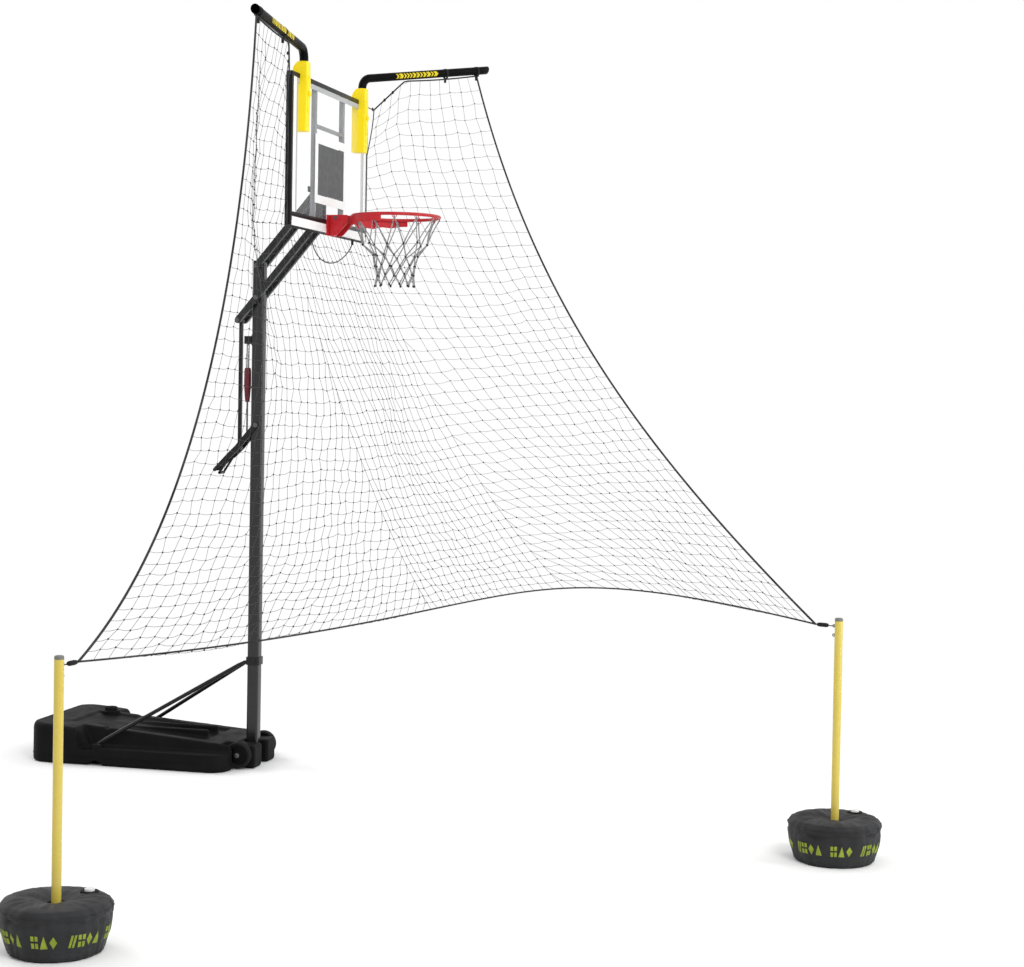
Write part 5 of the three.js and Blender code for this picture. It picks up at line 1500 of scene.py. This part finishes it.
BAG_SEEDS = {"left": 2.0, "right": 9.5}
BAG_FOOT = 0.168
BAG_RIM = 0.199
BAG_TOP_Z = 0.191
# How far up a bag's side, with radius and height there
BAG_SIDE = ((0, BAG_FOOT, 0.0), (0.12, 0.182, 0.012), (0.4, 0.203, 0.08), (0.7, 0.2145, 0.146),
            (0.86, 0.2115, 0.174), (1.0, BAG_RIM, BAG_TOP_Z))
# Places on a bag's skin, as bag_point counts them, and the crease's depth
TOP_SEAM = 1.84
FOOT_SEAM = 1.1
CREASE = 1.7
CREASE_DEPTH = 0.013


def bump(s, at, width):
    """1 at a place, falling smoothly to 0 away from it."""
    return math.exp(-((s - at) / width) ** 2)


def bag_point(foot, seed, a, s):
    """A point of a bag's skin: s runs from the foot's middle, 0, over the side, 1 to 2, to the pole, 3."""
    if s < 1:
        radius, z = BAG_FOOT * s, 0.0
    elif s < 2:
        t = s - 1
        (t0, r0, z0), (t1, r1, z1) = next(pair for pair in zip(BAG_SIDE, BAG_SIDE[1:]) if t <= pair[1][0])
        f = (t - t0) / (t1 - t0)
        radius, z = lerp(r0, r1, f), lerp(z0, z1, f)
    else:
        t = s - 2
        radius = lerp(BAG_RIM, 0.029 + 0.005 * math.cos(a * 2 + seed), t)
        swell = 0.014 * math.sin(math.pi * min(t * 1.25, 1.0)) ** 0.8 * (1 - t * 0.3)
        z = BAG_TOP_Z + swell - 0.009 * smooth((t - 0.8) * 5)
    outward = around(a)

    def patch(scale, level, shift=0.0):
        return noise.noise(outward * scale + vec(shift, 0, level))

    seams = bump(s, TOP_SEAM, 0.12) * 0.5 + bump(s, FOOT_SEAM, 0.12)
    push = patch(2.2, seed + s * 1.1) * 0.006 * smooth((s - 0.95) * 4) * smooth((2.9 - s) * 4)
    push += patch(9, seed + s * 0.9) * 0.0075 * smooth((s - 0.9) * 4) * smooth((3.0 - s) * 3) * (0.5 + seams)
    push -= abs(patch(5, seed + 4, s)) * 0.009 * smooth((s - 1.1) * 4) * smooth((2.7 - s) * 3)
    depth = 0.35 + 1.8 * abs(patch(3.1, seed + 12))
    push -= CREASE_DEPTH * depth * bump(s, CREASE + 0.09 * patch(2.6, seed + 8), 0.055)
    upward = 0.0 if s < 2 else smooth((s - 2) * 6)
    return foot + outward * (radius + min(push, 0.001) * (1 - upward)) + Z * (z + push * upward)


def add_bag(side):
    foot = BAGS[side][0]
    seed = BAG_SEEDS[side]
    sides = 120
    levels = [0.5, *(0.999 + i / 26 for i in range(27)), *(2.03 + 0.97 * i / 22 for i in range(23))]
    rings = [[bag_point(foot, seed, TURN * k / sides, s) for k in range(sides)] for s in levels]
    rings.append([vec(p.x, p.y, 0.15) for p in rings[-1]])
    bag = Shape(70).loft(rings, capped=False)
    bag.faces.append(tuple(range(sides)))
    body = bag.piece("bag_skin_" + side, "root", "bag_fabric", "weight_bag_" + side)
    piping = Shape(60)
    for s, radius in ((TOP_SEAM, 0.0024), (FOOT_SEAM, 0.0022)):
        piping.tube([bag_point(foot, seed, TURN * k / 160, s) for k in range(160)], radius, 8, looped=True)
    piping.piece("bag_piping_" + side, "root", "bag_fabric")
    add_bag_motif(side, foot, seed)

    node = "bag_cap_" + side
    at = underside(node)
    Shape().turned([
        (0.03, -0.03), (0.036, -0.008), (0.036, -0.004), (0.0335, 0.001), (0.0235, 0.0016), (0.0225, -0.004),
        (0.0, -0.004),
    ], 48, at).piece("bag_bezel_" + side, "root", "tank_plastic")
    cap = Shape().loft(ridged(at, Z, X, Y, [
        (0.0196, 0.0), (0.0198, 0.002), (0.0198, 0.0065), (0.0186, 0.0088), (0.017, 0.0095), (0.0155, 0.0082),
        (0.006, 0.008),
    ], 72, lambda k: k % 2, 0.0007, 0.0195))
    cap.box(at + vec(-0.0145, -0.0028, 0.005), at + vec(0.0145, 0.0028, 0.0093), 0.001)
    cap.piece("bag_cap_knurled_" + side, node, "cap_white", node)


def add_return_pole(side):
    """A pole that stands in a bag, with its plug, its eyelets and the hook for the net's corner."""
    foot, turn = BAGS[side]
    node = "return_pole_" + side
    low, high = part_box(node)
    radius = (high.x - low.x) / 2
    Shape().turned([
        (0.0, low.z), (radius, low.z), (radius, high.z - 0.001), (radius - 0.001, high.z),
        (radius - 0.002, high.z), (radius - 0.002, high.z - 0.05), (0.0, high.z - 0.05),
    ], 40, foot).piece("return_pole_tube_" + side, "root", "pole_yellow", node)
    node = "pole_plug_" + side
    low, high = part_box(node)
    Shape().turned([
        (0.0, low.z - 0.02), (radius - 0.0022, low.z - 0.02), (radius - 0.0022, low.z), (radius, low.z),
        (radius, high.z - 0.006), (radius * 0.9, high.z - 0.0018), (radius * 0.6, high.z), (0.0, high.z),
    ], 40, foot).piece("pole_end_plug_" + side, "root", "plug_grey", node)

    out = around(math.radians(turn))
    level = foot + Z * CORNER_Z
    eyelets = Shape()
    for at in (level + out * radius, level + out * radius - Z * 0.042):
        eyelets.turned(mirrored([(0.0035, -0.0012), (0.0075, -0.0012)]), 24, at + out * 0.006, Z.cross(out))
        eyelets.turned([(0.0, -0.002), (0.006, -0.002), (0.005, 0.003), (0.0, 0.0035)], 20, at, out)
    eyelets.piece("pole_eyelets_" + side, "root", "bolt_dark")
    start = level + out * (radius + 0.008)
    link = start + out * 0.026
    hook = Shape().tube([start, start.lerp(link, 0.5) - Z * 0.001, link + out * 0.004], 0.0022, 10)
    hook.turned([
        (0.003, 0.0), (0.0075, 0.002), (0.0095, 0.009), (0.0095, 0.044), (0.0078, 0.054), (0.003, 0.057),
    ], 28, link, out)
    for k in range(4):
        at = link + out * (0.014 + k * 0.008)
        hook.turned([(0.0093, -0.0012), (0.0101, 0.0), (0.0093, 0.0012)], 28, at, out)
    hook.tube([link + out * 0.052, level + out * (HOOK_REACH - 0.004)], 0.0036, 10)
    hook.piece("corner_connector_" + side, "root", "strap_black", "corner_hook_" + side, "tank_plastic")


MOTIF_SHAPES = (
    (((0, 0.58), (0.34, 0.58), (0.34, 1), (0, 1)), ((0.46, 0.58), (0.8, 0.58), (0.8, 1), (0.46, 1)),
     ((0, 0), (0.34, 0), (0.34, 0.42), (0, 0.42)), ((0.46, 0), (0.8, 0), (0.8, 0.42), (0.46, 0.42))),
    (((0, 0), (0.24, 0), (0.5, 1), (0.26, 1)), ((0.36, 0), (0.6, 0), (0.86, 1), (0.62, 1))),
    (((0.4, 0), (0.4, 0), (0.8, 0.5), (0, 0.5)), ((0, 0.5), (0.8, 0.5), (0.4, 1), (0.4, 1))),
    (((0, 0), (0.8, 0), (0.41, 1), (0.39, 1)),),
)
MOTIF_ORDER = (0, 3, 2, None, 1, 0, 2, 3, None)
MOTIF_PLACES = 36
MOTIF_BAND = (1.31, 1.52)


def add_bag_motif(side, foot, seed):
    """A band of plain shapes round a bag, in groups."""
    motif = Shape(60)
    for k in range(MOTIF_PLACES):
        kind = MOTIF_ORDER[k % len(MOTIF_ORDER)]
        if kind is None:
            continue
        for corners in MOTIF_SHAPES[kind]:
            a, b, c, d = (Vector(corner) for corner in corners)
            rows = []
            for left, right in ((a.lerp(d, j / 6), b.lerp(c, j / 6)) for j in range(7)):
                rows.append([])
                for spot in (left.lerp(right, i / 4) for i in range(5)):
                    turn = TURN / MOTIF_PLACES * (k + spot.x)
                    out = (around(turn) + Z * 0.12).normalized()
                    rows[-1].append(bag_point(foot, seed, turn, lerp(*MOTIF_BAND, spot.y)) + out * 0.0009)
            motif.loft(rows, capped=False, open_ring=True)
    motif.piece("bag_motif_" + side, "root", "bag_print")


# Cord under the board

LOCK_CORD = [Vector(p) / 1000 for p in (
    (-33.5, -308, 2960.7), (-33.5, -308, 2935), (-30, -312, 2903), (-16, -320, 2866), (8, -330, 2834),
    (42, -341, 2811), (84, -351, 2799), (132, -360, 2796), (184, -367, 2801), (238, -373, 2813),
    (292, -377, 2831), (344, -380, 2853), (392, -382, 2878), (434, -382, 2904), (458, -382, 2928),
    (458, -382, 2948.7),
)]


def add_lock_cord():
    points = resample(LOCK_CORD, 0.012)
    cord = Shape(60).tube(points, 0.003).piece("lock_cord_line", "board", "rope_black", "lock_cord")
    Shape().turned([
        (0.0, -0.03), (0.006, -0.028), (0.0075, -0.02), (0.0075, -0.006), (0.005, 0.0), (0.0, 0.0005),
    ], 20, points[-1]).piece("lock_cord_clip", "board", "strap_black")


make_finishes()
add_tank()
add_wheels()
add_pole()
add_braces()
add_lifting_gear()
add_handle()
add_gas_spring()
add_board()
add_rim()
add_hoop_net()
for name, sign in SIDES:
    add_return_arm(name)
    add_clamp(name, sign)
for name, sign in SIDES:
    add_wing(name, sign)
add_lower_net()
for name, _ in SIDES:
    add_bag(name)
    add_return_pole(name)
add_lock_cord()
add_floor()
add_camera()
add_light()

scene = bpy.context.scene
scene.view_settings.view_transform = "Standard"
